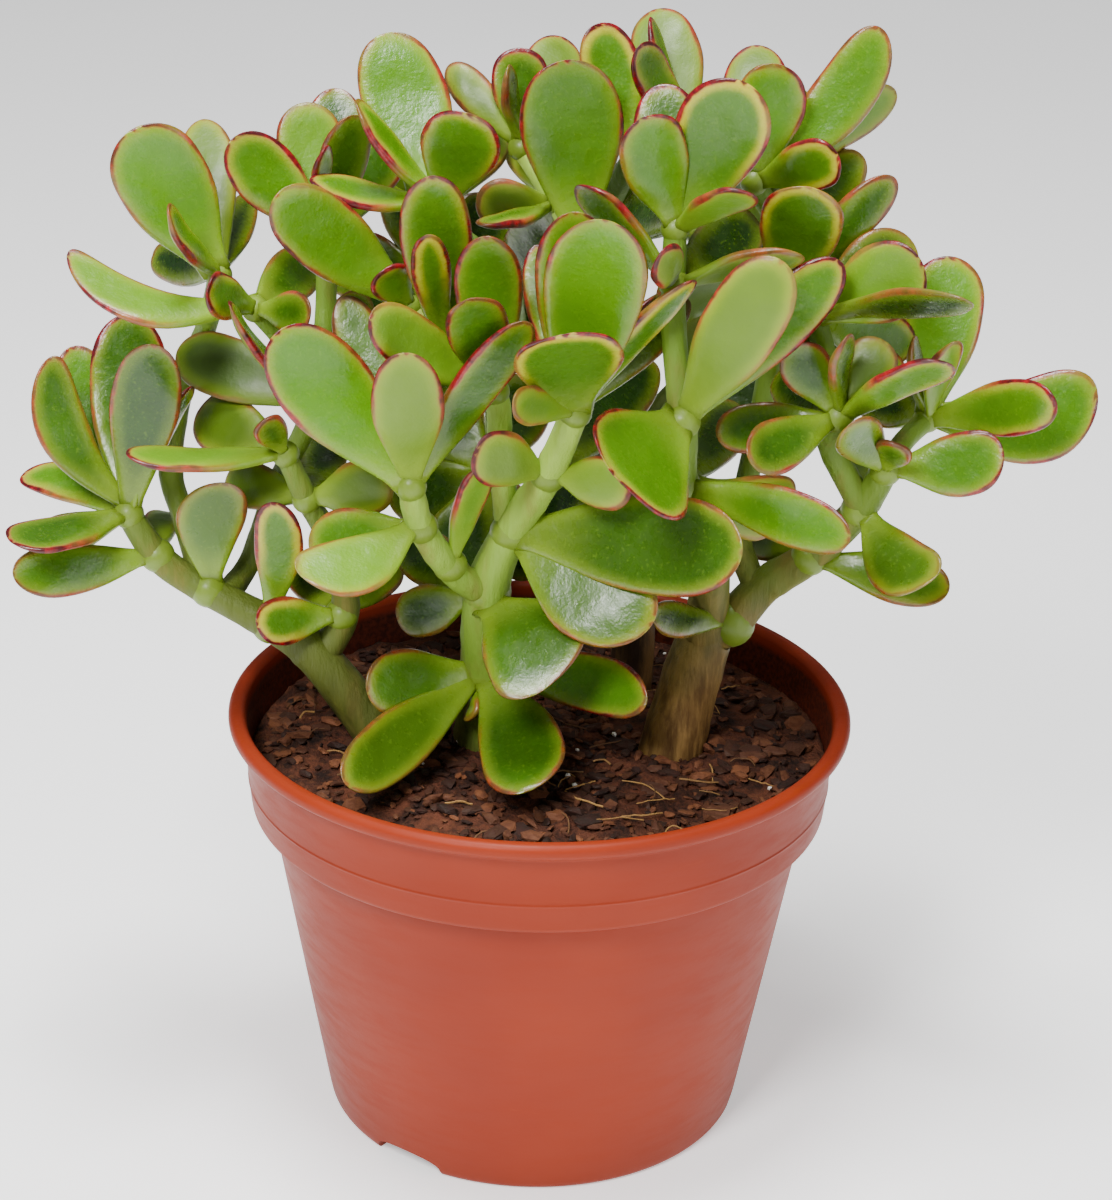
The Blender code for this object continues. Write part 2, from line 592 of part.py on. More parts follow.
def pot_levels():
    """The heights and outer radii that the pot's wall runs through, from its foot to under its lip."""
    collar_foot = POT_HEIGHT - COLLAR_HEIGHT
    collar_top = POT_HEIGHT - LIP_HEIGHT - 1.5
    collar_radius = RIM_RADIUS - COLLAR_INSET
    body_top = collar_radius - COLLAR_STEP - 2.0
    return (
        (FOOT_RADIUS, 0.0),
        (body_top, collar_foot - 3.0),
        (body_top + COLLAR_STEP, collar_foot),
        (collar_radius, collar_top),
    )


def notch(angle):
    """A cutter for one drainage notch in the foot: an arched bar that points outward at an angle."""
    outward = Vector((math.sin(angle), -math.cos(angle), 0))
    sideways = Vector((math.cos(angle), math.sin(angle), 0))
    section = [(-0.5 * NOTCH_WIDTH, -NOTCH_SILL), (0.5 * NOTCH_WIDTH, -NOTCH_SILL)]
    for step in range(NOTCH_STEPS + 1):
        turn = math.pi * step / NOTCH_STEPS
        arch = abs(math.sin(turn)) ** 0.7
        section.append((0.5 * NOTCH_WIDTH * math.cos(turn), NOTCH_SILL + (NOTCH_HEIGHT - NOTCH_SILL) * arch))
    corners = []
    for reach in (FOOT_RADIUS - NOTCH_DEPTH, FOOT_RADIUS + NOTCH_DEPTH):
        corners += [outward * reach + sideways * side + Vector((0, 0, height)) for side, height in section]
    count = len(section)
    faces = [tuple(range(count)), tuple(range(2 * count - 1, count - 1, -1))]
    faces += [(i, (i + 1) % count, count + (i + 1) % count, count + i) for i in range(count)]
    return mesh_object("notch", corners, faces)


def make_pot():
    foot, shoulder, collar, under_lip = pot_levels()
    outer = [
        (0, 0), (FOOT_RADIUS - LIP_ROUND, 0), (FOOT_RADIUS, LIP_ROUND), shoulder,
        (shoulder[0] + 0.2, collar[1]), collar,
        under_lip, (RIM_RADIUS - 0.8, POT_HEIGHT - LIP_HEIGHT), (RIM_RADIUS, POT_HEIGHT - LIP_HEIGHT + 1.0),
        (RIM_RADIUS, POT_HEIGHT - LIP_ROUND), (RIM_RADIUS - LIP_ROUND, POT_HEIGHT),
        (RIM_RADIUS - LIP_WIDTH + LIP_ROUND, POT_HEIGHT),
    ]
    inner = [
        (RIM_RADIUS - LIP_WIDTH, POT_HEIGHT - LIP_ROUND), (under_lip[0] - WALL, under_lip[1] - 1.0),
        (collar[0] - WALL, collar[1] + 1.4 * WALL), (shoulder[0] - WALL, collar[1] + WALL),
        (FOOT_RADIUS - WALL, FLOOR), (0, FLOOR),
    ]
    plastic = material("terracotta_plastic", (0.48, 0.13, 0.065), 0.42)
    pot = turned("pot", outer + inner, POT_SIDES, plastic)
    notches = [notch(FIRST_NOTCH + 2 * math.pi * number / NOTCHES) for number in range(NOTCHES)]
    boolean(pot, "DIFFERENCE", notches)
    pot.data.shade_smooth()
    pot.data.set_sharp_from_angle(angle=math.radians(30))


def soil_height(x, y):
    """The uneven top of the mix: a low crown with gentle lumps."""
    share = math.hypot(x, y) / RIM_RADIUS
    lumps = math.sin(x / 9.0 + 1.3) * math.cos(y / 11.0) + 0.6 * math.sin((x + y) / 6.3 + 0.4)
    return SOIL_TOP + SOIL_CROWN * (1 - share**2) + SOIL_UNEVEN * lumps


def make_soil(stems):
    foot, shoulder, collar, under_lip = pot_levels()
    gap = WALL + GAP
    rise = (SOIL_TOP - collar[1]) / (under_lip[1] - collar[1])
    edge = collar[0] + (under_lip[0] - collar[0]) * rise - gap - 0.4
    low_floor = FLOOR + GAP
    slope = (shoulder[0] - foot[0]) / shoulder[1]
    profile = [
        (0, low_floor), (foot[0] + slope * low_floor - gap - 0.5, low_floor),
        (shoulder[0] - gap - 0.2, collar[1] + WALL + 1.7 * GAP),
        (collar[0] - gap - 0.4, collar[1] + 1.4 * WALL + 2 * GAP), (edge, SOIL_TOP),
    ]
    profile += [(edge * share, SOIL_TOP) for share in (0.88, 0.74, 0.58, 0.4, 0.2)] + [(0, SOIL_TOP)]
    soil = turned("soil", profile, SOIL_SIDES, material("bark_mix", (0.03, 0.014, 0.009), 0.95))
    for vertex in soil.data.vertices:
        if vertex.co.z > (SOIL_TOP - 0.01) * MM:
            vertex.co.z = soil_height(vertex.co.x / MM, vertex.co.y / MM) * MM
    sockets = [mesh_object("socket", *tube(*swollen(branch, GAP))) for branch in stems]
    boolean(soil, "DIFFERENCE", sockets)
    soil.data.shade_smooth()


def swollen(branch, by):
    """A branch's points and its radii grown by a gap, and its ends moved out by it."""
    points, radii = branch_points(branch)
    start = (points[0] - points[1]).normalized() * by
    end = (points[-1] - points[-2]).normalized() * by
    return [points[0] + start, *points[1:-1], points[-1] + end], [radius + by * 1.1 for radius in radii]


def make_stems():
    bark = material("brown_bark", (0.20, 0.12, 0.05), 0.85)
    green = material("green_stem", (0.16, 0.24, 0.07), 0.6)
    for name, branches in CUTTINGS.items():
        finish = bark if name in ("stem_right", "stem_back") else green
        tubes = [mesh_object(name, *tube(*branch_points(branch)), finish) for branch in branches]
        boolean(tubes[0], "UNION", tubes[1:])
        tubes[0].name = name
        tubes[0].data.shade_smooth()


def make_bud(name, centre, radius, finish):
    bm = bmesh.new()
    bmesh.ops.create_icosphere(bm, subdivisions=1, radius=radius * MM)
    bmesh.ops.translate(bm, vec=centre * MM, verts=bm.verts)
    mesh = bpy.data.meshes.new(name)
    bm.to_mesh(mesh)
    bm.free()
    mesh.materials.append(finish)
    bud = bpy.data.objects.new(name, mesh)
    bpy.context.scene.collection.objects.link(bud)
    return bud


def make_leaves():
    leaves, nodes = plan()
    finishes = [material(f"jade_leaf_{index}", green, 0.35) for index, green in enumerate(GREENS)]
    for index, (name, (centre, radius)) in enumerate(nodes.items()):
        finish = finishes[index % len(finishes)]
        bud = make_bud(name, centre, radius, finish)
        own = [mesh_object(name + "_leaf", *plain_leaf(leaf), finish) for leaf in leaves if leaf.cluster == name]
        boolean(bud, "UNION", own)
        sockets = []
        for branches in CUTTINGS.values():
            for branch in branches:
                reach = min((point - centre).length for point in branch_points(branch, 8)[0])
                if reach < radius + 10:
                    sockets.append(mesh_object("socket", *tube(*swollen(branch, GAP))))
        boolean(bud, "DIFFERENCE", sockets)
        bud.name = name
        bud.data.shade_smooth()
        bud.data.set_sharp_from_angle(angle=math.radians(40))


def main():
    for old in list(bpy.data.objects):
        bpy.data.objects.remove(old)
    make_pot()
    make_stems()
    make_soil([branches[0] for branches in CUTTINGS.values()])
    make_leaves()


main()
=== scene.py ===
"""The looks of a potted jade plant: its pot, its bark mix, its stems, and every leaf of every cluster.

Sizes here are in millimetres, as in the part's own source, and meshes are made in metres. The plan of the
plant is the same one that the solids are built from, so each fine leaf lies where its solid leaf lies.
"""

import math

import bmesh
import bpy
import numpy as np
from mathutils import Matrix, Vector
from mathutils.bvhtree import BVHTree
from mathutils.geometry import intersect_point_line


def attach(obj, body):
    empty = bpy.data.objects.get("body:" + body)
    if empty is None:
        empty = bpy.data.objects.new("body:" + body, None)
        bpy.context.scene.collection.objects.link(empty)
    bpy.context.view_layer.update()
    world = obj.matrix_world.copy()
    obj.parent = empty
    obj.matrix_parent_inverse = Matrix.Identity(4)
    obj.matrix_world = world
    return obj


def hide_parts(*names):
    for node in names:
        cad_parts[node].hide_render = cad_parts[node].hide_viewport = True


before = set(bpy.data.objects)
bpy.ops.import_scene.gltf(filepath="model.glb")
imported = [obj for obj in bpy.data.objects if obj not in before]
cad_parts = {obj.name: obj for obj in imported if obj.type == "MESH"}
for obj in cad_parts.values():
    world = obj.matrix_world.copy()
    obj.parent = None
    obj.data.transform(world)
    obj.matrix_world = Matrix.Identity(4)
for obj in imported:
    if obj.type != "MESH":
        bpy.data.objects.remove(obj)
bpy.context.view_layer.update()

MM = 0.001

# Pot
POT_HEIGHT = 120.0
RIM_RADIUS = 85.0
FOOT_RADIUS = 58.0
WALL = 1.5
FLOOR = 2.0
COLLAR_HEIGHT = 28.0
COLLAR_STEP = 5.5
LIP_HEIGHT = 4.0
LIP_WIDTH = 4.6
LIP_ROUND = 1.2
COLLAR_INSET = 3.9
SEAM_SHARE = 0.30
SEAM_HALF = 0.5
SEAM_PROUD = 0.25
NOTCHES = 3
NOTCH_WIDTH = 22.0
NOTCH_HEIGHT = 5.0
NOTCH_DEPTH = 11.0
NOTCH_SILL = 1.0
NOTCH_STEPS = 12
FIRST_NOTCH = math.radians(-36)

# Potting mix
SOIL_DEPTH_BELOW_RIM = 12.5
SOIL_CROWN = 3.0
SOIL_UNEVEN = 0.9
GAP = 0.3

# Plant
PLANT_SCALE = 1.0
LEAF_THICKNESS = 3.6
LEAF_NECK = 0.34
LEAF_WIDEST = 0.61
LEAF_RISE = 1.2
LEAF_TIP = 2.45
LEAF_CUP = 0.07
LEAF_BOW = -0.05
STEM_SCALE = 1.0
BUD_OVER_STEM = 1.6
BUD_SWELL = 1.16
BASE_REACH = 0.7

# The sheet that the plant is laid out on
LOOK_DOWN = math.radians(23.6)
LOOK_DISTANCE = 810.0
LOOK_OVER_SOIL = 42.5

SOIL_TOP = POT_HEIGHT - SOIL_DEPTH_BELOW_RIM
RIGHT = Vector((1, 0, 0))
UPWARD = Vector((0, math.sin(LOOK_DOWN), math.cos(LOOK_DOWN)))
TO_EYE = Vector((0, -math.cos(LOOK_DOWN), math.sin(LOOK_DOWN)))
SHEET = Vector((0, 0, SOIL_TOP + LOOK_OVER_SOIL))
EYE = SHEET + TO_EYE * LOOK_DISTANCE
ROOT = Vector((0, 0, SOIL_TOP))

# Each cutting: its branches, as plan points with the stem's radius there. Every branch after the first
# starts inside one before it.
CUTTINGS = {
    "stem_left": (
        ((-34, -50, -18, 7.0), (-41, -40, -9, 6.8), (-60, -17, 0, 6.0), (-73, -8, 4, 4.8), (-94, 3, 6, 4.2),
         (-104, 10, 9, 4.1), (-112, 21, 15, 3.4)),
        ((-60, -17, 0, 4.4), (-53, -4, 4, 3.8), (-57, 14, 14, 3.2), (-64, 26, 24, 3.2), (-70, 38, 33, 2.8)),
        ((-86, -1, 5, 3.7), (-79, 9, -3, 3.2), (-72, 30, 6, 3.0), (-62, 52, 28, 3.0), (-60, 76, 30, 2.8),
         (-60, 96, 33, 2.6)),
        ((-62, 52, 28, 2.8), (-70, 67, 35, 2.7), (-79, 77, 44, 2.6)),
        ((-91, 2, 6, 3.6), (-97, 20, 2, 3.2), (-101, 34, 2, 3.2), (-98, 56, -4, 3.0), (-92, 72, 14, 2.8),
         (-89, 86, 36, 2.7)),
    ),
    "stem_middle": (
        ((-16, -52, -18, 7.6), (-16, -38, -12, 7.2), (-15, -19, 0, 7.0), (-15, 2, 17, 6.4),
         (-9, 18, 28, 4.8), (1, 34, 43, 4.3), (8, 51, 60, 3.6)),
        ((8, 51, 58, 3.2), (9, 60, 48, 3.1), (8, 78, 41, 3.0), (8, 98, 42, 2.8)),
        ((8, 96, 41, 2.8), (2, 107, 36, 2.8), (-8, 122, 36, 2.6)),
        ((-15, 2, 17, 4.5), (-24, 7, 28, 3.9), (-33, 19, 42, 3.7), (-36, 30, 51, 3.3)),
        ((-9, 18, 26, 3.8), (-12, 38, 38, 3.2), (-14, 56, 52, 3.2), (-28, 68, 44, 3.0), (-37, 79, 44, 2.8)),
        ((-14, 56, 52, 2.9), (-24, 82, 48, 2.8), (-29, 106, 52, 2.7)),
    ),
    "stem_right": (
        ((33, -52, -18, 9.0), (36, -38, -12, 8.6), (44, -10, -2, 7.4), (51, -5, 0, 5.6), (60, 5, 4, 4.8),
         (72, 13, 11, 4.5), (85, 26, 21, 4.2), (92, 37, 32, 3.6)),
        ((44, -10, -2, 6.5), (45, 8, 12, 5.4), (40, 22, 30, 4.6), (37, 32, 44, 4.3), (37, 49, 56, 4.0)),
        ((37, 49, 55, 3.4), (34, 75, 58, 3.2), (34, 101, 64, 2.9)),
        ((86, 27, 22, 3.8), (77, 44, 35, 3.6), (79, 51, 46, 3.4)),
        ((79, 51, 45, 3.2), (76, 65, 46, 3.0), (72, 78, 50, 2.8)),
        ((76, 65, 46, 2.9), (67, 76, 42, 2.8), (64, 84, 42, 2.7)),
        ((92, 37, 30, 3.2), (97, 45, 22, 3.0), (103, 51, 17, 2.9)),
        ((58, 4, 3, 3.8), (53, 20, 2, 3.2), (58, 50, 8, 3.1), (62, 80, 18, 3.0), (62, 100, 27, 2.9),
         (55, 114, 44, 2.7)),
    ),
    "stem_back": (
        ((23, -37, -51, 7.0), (24, -22, -44, 6.8), (25, -4, -34, 6.0), (20, 40, -28, 4.6),
         (14, 72, -17, 4.0), (12, 96, 0, 3.4), (23, 122, 42, 2.7)),
        ((12, 96, 0, 3.0), (24, 112, 18, 2.9), (38, 125, 38, 2.7)),
        ((20, 40, -28, 3.8), (0, 62, -32, 3.4), (-30, 84, -28, 3.0)),
        ((14, 72, -17, 3.4), (-10, 88, -6, 3.0), (-36, 106, -2, 2.7)),
        ((20, 40, -28, 3.6), (38, 60, -28, 3.2), (55, 75, -24, 2.8)),
        ((24, -6, -36, 3.8), (8, 14, -42, 3.4), (-15, 34, -40, 2.9)),
        ((38, 60, -28, 3.0), (40, 82, -22, 2.9), (40, 100, -14, 2.7)),
    ),
}

# Each cluster of leaves: where its node is, and its leaves as (across, up, toward) of the tip, the leaf's
# width and how far it is rolled round its midrib, in degrees: 0 shows the upper side, 90 the edge and 180
# the underside. A row may go on with its bow and its sideways sweep, as shares of its length. A cluster
# with a number for its rows faces away from the eye, and has that many of the pairs in BACK_PAIRS.
CLUSTERS = {
    "leaves_left_end": ((-112, 21, 15), (
        (-106, 67, 36, 18, 0), (-113, 75, 10, 21, 0), (-95, 57, 30, 13, 72), (-128, 66, 8, 17, 10),
        (-134, 63, 26, 14, 8, -0.04, -0.13), (-141, 31, -2, 13, 30, -0.05, 0.12), (-144, 13, 38, 17, 56),
        (-137, 12, -12, 12, 175))),
    "leaves_left_elbow": ((-104, 10, 9), (
        (-143, 4, 26, 14, 5, -0.05, -0.02), (-103, 22, -16, 10, 180))),
    "leaves_left_node": ((-90, 1, 6), (
        (-86, 30, 26, 18, 5, -0.05, -0.08),)),
    "leaves_left_low": ((-73, -8, 4), (
        (-73, 25, 27, 13, 0, -0.05, 0.05),)),
    "leaves_left_inner_low": ((-54, -5, 4), (
        (-77, -8, 22, 13, 0), (-40, 12, -14, 14, 0), (-67, 9, -10, 12, 0))),
    "leaves_left_fork": ((-64, 26, 24), (
        (-41, 31, 36, 15, 185), (-86, 31, 4, 13, 180), (-56, 48, -2, 14, 0))),
    "leaves_left_mid": ((-70, 38, 33), (
        (-113, 37, 50, 13, 62), (-94, 49, 12, 17, 180), (-76, 47, 50, 9, 0))),
    "leaves_left_inner": ((-62, 52, 28), (
        (-101, 66, 12, 18, 190), (-86, 78, 68, 12, 78), (-50, 82, 4, 14, 0))),
    "leaves_left_upper": ((-79, 77, 44), (
        (-130, 91, 48, 15, 48, -0.02, -0.22), (-92, 82, 68, 12, 15),
        (-64, 76, 60, 11, 0), (-63, 92, 18, 14, 0))),
    "leaves_left_top": ((-89, 86, 36), (
        (-113, 125, 55, 24, 0), (-103, 103, 66, 12, 66), (-94, 128, 18, 15, 175),
        (-81, 108, 6, 9, 0), (-107, 91, 8, 12, 0))),
    "leaves_top_left": ((-60, 96, 33), (
        (-86, 123, 44, 17, 0), (-67, 133, 34, 18, 5), (-58, 137, 14, 17, 0), (-53, 130, 54, 13, 20),
        (-61, 121, 62, 9, 60), (-39, 129, 24, 14, 0))),
    "leaves_upper_left": ((-37, 79, 44), (
        (-74, 108, 72, 19, 0), (-45, 88, 62, 11, 0))),
    "leaves_top_mid_left": ((-29, 106, 52), (
        (-46, 152, 52, 22, 0), (-53, 134, 64, 12, 66), (-22, 131, 80, 20, 0), (-65, 112, 66, 12, 58),
        (-14, 128, 20, 13, 180))),
    "leaves_mid_left": ((-28, 68, 44), (
        (-32, 114, 68, 18, 0), (-33, 98, 81, 10, 8))),
    "leaves_centre_left": ((-14, 56, 52), (
        (-48, 76, 84, 15, 16), (-21, 81, 84, 16, 0), (-17, 98, 74, 17, 0), (-2, 86, 40, 13, 180))),
    "leaves_front_left": ((-36, 30, 51), (
        (-73, 71, 74, 23, 0), (-38, 66, 82, 18, 178), (-5, 75, 78, 14, 34), (-55, 81, 46, 14, 0),
        (-57, 67, 58, 10, 20))),
    "leaves_front_left_low": ((-33, 19, 42), (
        (-66, 6, 60, 18, 30, -0.05, -0.1), (-63, 12, 32, 18, 0))),
    "leaves_middle_node": ((-15, 2, 17), (
        (0, -25, 42, 29, 0, 0.05, -0.16),
        (-39, -6, 4, 14, 0), (-39, 15, -8, 15, 0))),
    "leaves_middle_spur": ((-25, 9, 30), (
        (-16, 36, 54, 9, 30),)),
    "leaves_middle_fork": ((-9, 18, 28), (
        (54, 14, 64, 26, 0), (30, -6, 42, 24, 0, 0.02, 0.06), (12, 32, -4, 13, 0))),
    "leaves_middle_upper": ((1, 34, 43), (
        (-19, 40, 64, 15, 170), (24, 31, 58, 14, 190), (24, 38, 4, 14, 0), (29, 65, 2, 16, 0))),
    "leaves_middle_foot": ((-15, -19, 0), (
        (-47, -25, 24, 18, 0), (29, -27, 26, 16, 0, -0.05, -0.05), (-52, -51, 34, 17, 0),
        (-3, -52, 36, 23, 0, -0.05, -0.06), (-19, -33, 6, 8, 70))),
    "leaves_centre": ((8, 51, 60), (
        (5, 72, 98, 27, 0), (15, 103, 97, 25, 0), (7, 105, 82, 20, 0), (43, 91, 80, 13, 60),
        (32, 87, 66, 11, 76), (38, 82, 50, 10, 0), (-9, 53, 84, 10, 0), (-3, 96, 46, 13, 0))),
    "leaves_top_mid": ((8, 98, 42), (
        (4, 146, 60, 26, 0),)),
    "leaves_top_mid_back": ((2, 107, 36), (
        (-20, 107, 46, 13, 165), (-19, 101, 52, 9, 66), (-10, 124, 20, 10, 180), (-9, 90, 4, 14, 0))),
    "leaves_top_crown": ((-8, 122, 36), (
        (-9, 149, 44, 15, 0), (-12, 144, 50, 8, 66), (-28, 144, 34, 10, 180),
        (3, 152, 20, 16, 180))),
    "leaves_right_mid": ((37, 49, 56), (
        (18, 35, 86, 32, 0, -0.05, -0.1), (63, 93, 86, 20, 175), (79, 93, 66, 16, 10))),
    "leaves_right_knee": ((37, 32, 44), (
        (83, 18, 66, 15, 18), (68, 30, 22, 17, 180, -0.05, -0.14), (20, 22, 12, 15, 0), (52, 54, 6, 15, 0))),
    "leaves_right_inner": ((34, 86, 61), (
        (7, 112, 65, 15, -62), (30, 94, 78, 11, 58), (69, 94, 70, 12, 60), (56, 104, 40, 16, 0))),
    "leaves_right_upper": ((34, 101, 64), (
        (25, 131, 84, 18, 15), (30, 140, 66, 17, 0), (52, 141, 78, 23, 0), (54, 111, 88, 13, 55),
        (36, 127, 72, 6, 0), (20, 107, 28, 13, 0))),
    "leaves_crown_mid": ((23, 122, 42), (
        (12, 156, 48, 15, 0), (2, 138, 12, 13, 180))),
    "leaves_crown_right": ((38, 125, 38), (
        (27, 160, 34, 18, 180), (26, 158, 50, 11, 76), (23, 150, 54, 12, 30))),
    "leaves_right_crown": ((55, 114, 44), (
        (78, 121, 58, 14, 14), (89, 156, 54, 16, 0, -0.05, 0.07), (61, 146, 58, 18, 0),
        (55, 151, 30, 17, 178), (93, 139, 34, 14, 30))),
    "leaves_right_back": ((62, 100, 27), (
        (84, 122, 34, 13, 0), (66, 140, 10, 14, 0), (80, 100, 4, 14, 0))),
    "leaves_right_round": ((64, 84, 42), (
        (70, 113, 74, 21, 0), (93, 116, 52, 12, 20))),
    "leaves_right_bowl": ((72, 78, 50), (
        (101, 93, 74, 20, 0), (98, 99, 46, 18, 0), (99, 70, 12, 15, 0), (114, 83, 84, 14, 62, -0.05, 0.04))),
    "leaves_right_spray": ((79, 51, 46), (
        (109, 66, 74, 14, 54), (95, 68, 36, 13, 0), (81, 73, 68, 9, 60), (91, 72, 52, 14, 180),
        (46, 46, 46, 13, 0), (55, 39, 62, 14, 0), (66, 70, 58, 13, 0), (62, 62, 6, 14, 0))),
    "leaves_right_end": ((92, 37, 32), (
        (95, 44, 54, 10, 0), (124, 42, 44, 17, 0, -0.05, 0.05), (82, 49, 56, 13, 0))),
    "leaves_right_far": ((103, 51, 17), (
        (109, 95, 22, 21, 0), (149, 59, 20, 23, 0, -0.05, 0.12), (138, 56, 46, 15, 8), (110, 72, 46, 9, 40),
        (99, 73, 38, 7, 60), (85, 57, -8, 13, 0))),
    "leaves_right_low": ((85, 26, 21), (
        (106, 8, 42, 17, 0, -0.05, 0.14), (84, 46, -16, 12, 180))),
    "leaves_right_lowest": ((72, 13, 11), (
        (110, 5, 22, 14, 0), (54, 20, -14, 12, 180))),
    "leaves_trunk": ((51, -5, 0), (
        (30, -4, 34, 10, 12),)),
    "leaves_back_high_left": ((-36, 106, -2), 3),
    "leaves_back_left": ((-30, 84, -28), (
        (-58, 68, -22, 21, 0), (-62, 92, -34, 20, 0), (-40, 118, -34, 20, 0), (-14, 108, -34, 19, 0),
        (-8, 72, -52, 18, 0), (-32, 52, -34, 19, 0), (-34, 84, -70, 17, 180))),
    "leaves_back_right": ((55, 75, -24), (
        (86, 70, -16, 20, 0), (84, 92, -32, 19, 0), (60, 106, -34, 19, 0), (30, 86, -34, 18, 0),
        (52, 44, -26, 19, 0), (60, 76, -66, 17, 180))),
    "leaves_back_low": ((-15, 34, -40), (
        (-27, 4, -34, 20, 0), (-42, 26, -46, 18, 0), (-2, 6, -62, 19, 0), (-4, 60, -50, 20, 0),
        (-34, 56, -46, 20, 0), (-12, 30, -84, 17, 180))),
    "leaves_back_high_right": ((40, 100, -14), 3),
    "leaves_back_mid": ((14, 72, -17), 1),
}

# Crossed pairs of leaves round an axis that leans outward, each as (lean from the axis, length, width)
BACK_PAIRS = ((58, 40, 20), (34, 38, 17), (12, 26, 12))
BACK_TURN = math.radians(90)

# Settling: leaves that touch move apart along the line of sight, and the farther one is then drawn in.
FREE_STATIONS = (0.2, 0.36, 0.72, 0.98)
WHOLE_STATIONS = (0.0, 0.36, 0.72, 0.98)
END_STATIONS = (0.45, 0.72, 0.98)
PLAIN_SECTION = ((-1, 0), (-0.5, 1), (0.5, 1), (1, 0), (0.5, -1), (-0.5, -1))
SETTLE_ROUNDS = 110
SETTLE_STEP = 1.2
SETTLE_GAP = 0.45
SETTLE_REACH = 14.0
DRAW_IN_FROM = 24
DRAW_IN = 0.965

# Camera
CAMERA_LENS = 90.0
CAMERA_SHIFT = 0.0118
CAMERA_ROLL = math.radians(1.15)

# Looks of single leaves, as (shade, red margin, yellow band, paleness), each from 0 to 1. The shade is
# partly the leaf's own green and partly painted light and shade: the dark tones stand for leaves in shadow
# deep in the plant, the bright ones for leaves in full light.
TONES = {
    "b": (0.88, 0.60, 0.16, 0.06),  # bright upper side
    "g": (0.56, 0.55, 0.10, 0.00),  # glossy middle green
    "d": (0.26, 0.50, 0.06, 0.00),  # dark and saturated
    "k": (0.04, 0.25, 0.02, 0.00),  # very dark, deep inside
    "r": (0.66, 1.00, 0.40, 0.03),  # strong red margin
    "m": (0.36, 1.00, 0.10, 0.00),  # maroon margin over a dark face
    "y": (0.55, 0.80, 1.00, 0.05),  # wide yellow band inside the margin
    "o": (0.34, 0.40, 0.22, 0.22),  # olive
    "p": (0.78, 0.60, 0.18, 0.48),  # pale and matt
    "w": (0.95, 0.40, 0.20, 0.55),  # palest yellow-green
}
# painted shade: the clusters at the back and the leaves deep inside get the darkest tones for the shadow
# they lie in
LEAF_TONES = {
    "leaves_left_end": "dmrgdrmk", "leaves_left_elbow": "gp", "leaves_left_node": "o",
    "leaves_left_low": "y", "leaves_left_inner_low": "yok", "leaves_left_fork": "ook",
    "leaves_left_mid": "pdd",
    "leaves_left_inner": "kmd", "leaves_left_upper": "prdk", "leaves_left_top": "brokk",
    "leaves_top_left": "rpddpd", "leaves_upper_left": "bb", "leaves_top_mid_left": "brrrd",
    "leaves_mid_left": "ry", "leaves_centre_left": "pggd", "leaves_front_left": "bpmor",
    "leaves_front_left_low": "wg", "leaves_middle_node": "dkk", "leaves_middle_spur": "p",
    "leaves_middle_fork": "dok", "leaves_middle_upper": "ppdk", "leaves_middle_foot": "ggodo",
    "leaves_centre": "ybgymkpm", "leaves_top_mid": "g", "leaves_top_mid_back": "omok",
    "leaves_top_crown": "mdog", "leaves_right_mid": "rpr", "leaves_right_knee": "gokk",
    "leaves_right_inner": "mmok", "leaves_right_upper": "bmyppk", "leaves_crown_mid": "yp",
    "leaves_crown_right": "gmr", "leaves_right_crown": "ygbgw", "leaves_right_back": "dkd",
    "leaves_right_round": "yd", "leaves_right_bowl": "pkrk", "leaves_right_spray": "rddodddk",
    "leaves_right_end": "dgo", "leaves_right_far": "bgrpkk", "leaves_right_low": "ok",
    "leaves_right_lowest": "ok", "leaves_trunk": "k", "leaves_back_high_left": "bgdgyd",
    "leaves_back_left": "kdkkkkd", "leaves_back_right": "kdkkkd", "leaves_back_low": "kkkkkd",
    "leaves_back_high_right": "gbygdd", "leaves_back_mid": "gd",
}

# A pale floor lit a little from inside, like a light table
FLOOR_GLOW = 0.6

# Fine leaves
LEAF_ALONG = 22
LEAF_ROUND = 20
LEAF_EDGE = 90
LEAF_TIP_FROM = 0.72
MARGIN_REACH = 10.0
BUD_FINE = 0.72
BASE_TUCK = -0.06

# Mix
CHIPS = 1500
CHIP_LONGEST = 4.6
FIBRES = 64
FIBRE_POINTS = 8
GRAINS = 15

# How finely the turned bodies and the stems are made
POT_SIDES = 160
PLUG_SIDES = 200
PLUG_RINGS = 70
STEM_SIDES = 28
BRANCH_SIDES = 18
STEM_STEPS = 9

# Seeds
MIX_SEED = 5
STEM_SEED = 40
LEAF_SEED = 700


def place(across, up, toward):
    """The world point of a plan point, grown from the root by the plant's scale."""
    drawn = SHEET + RIGHT * across + UPWARD * up
    point = EYE + (drawn - EYE) * ((LOOK_DISTANCE - toward) / LOOK_DISTANCE)
    return ROOT + (point - ROOT) * PLANT_SCALE


def outline(along):
    """Half the leaf's width as a share of its widest, from its narrow base to its round tip."""
    if along < LEAF_WIDEST:
        rise = math.sin(0.5 * math.pi * along / LEAF_WIDEST) ** LEAF_RISE
        return LEAF_NECK + (1 - LEAF_NECK) * rise
    past = (along - LEAF_WIDEST) / (1 - LEAF_WIDEST)
    return math.sqrt(max(0.0, 1 - past ** LEAF_TIP))


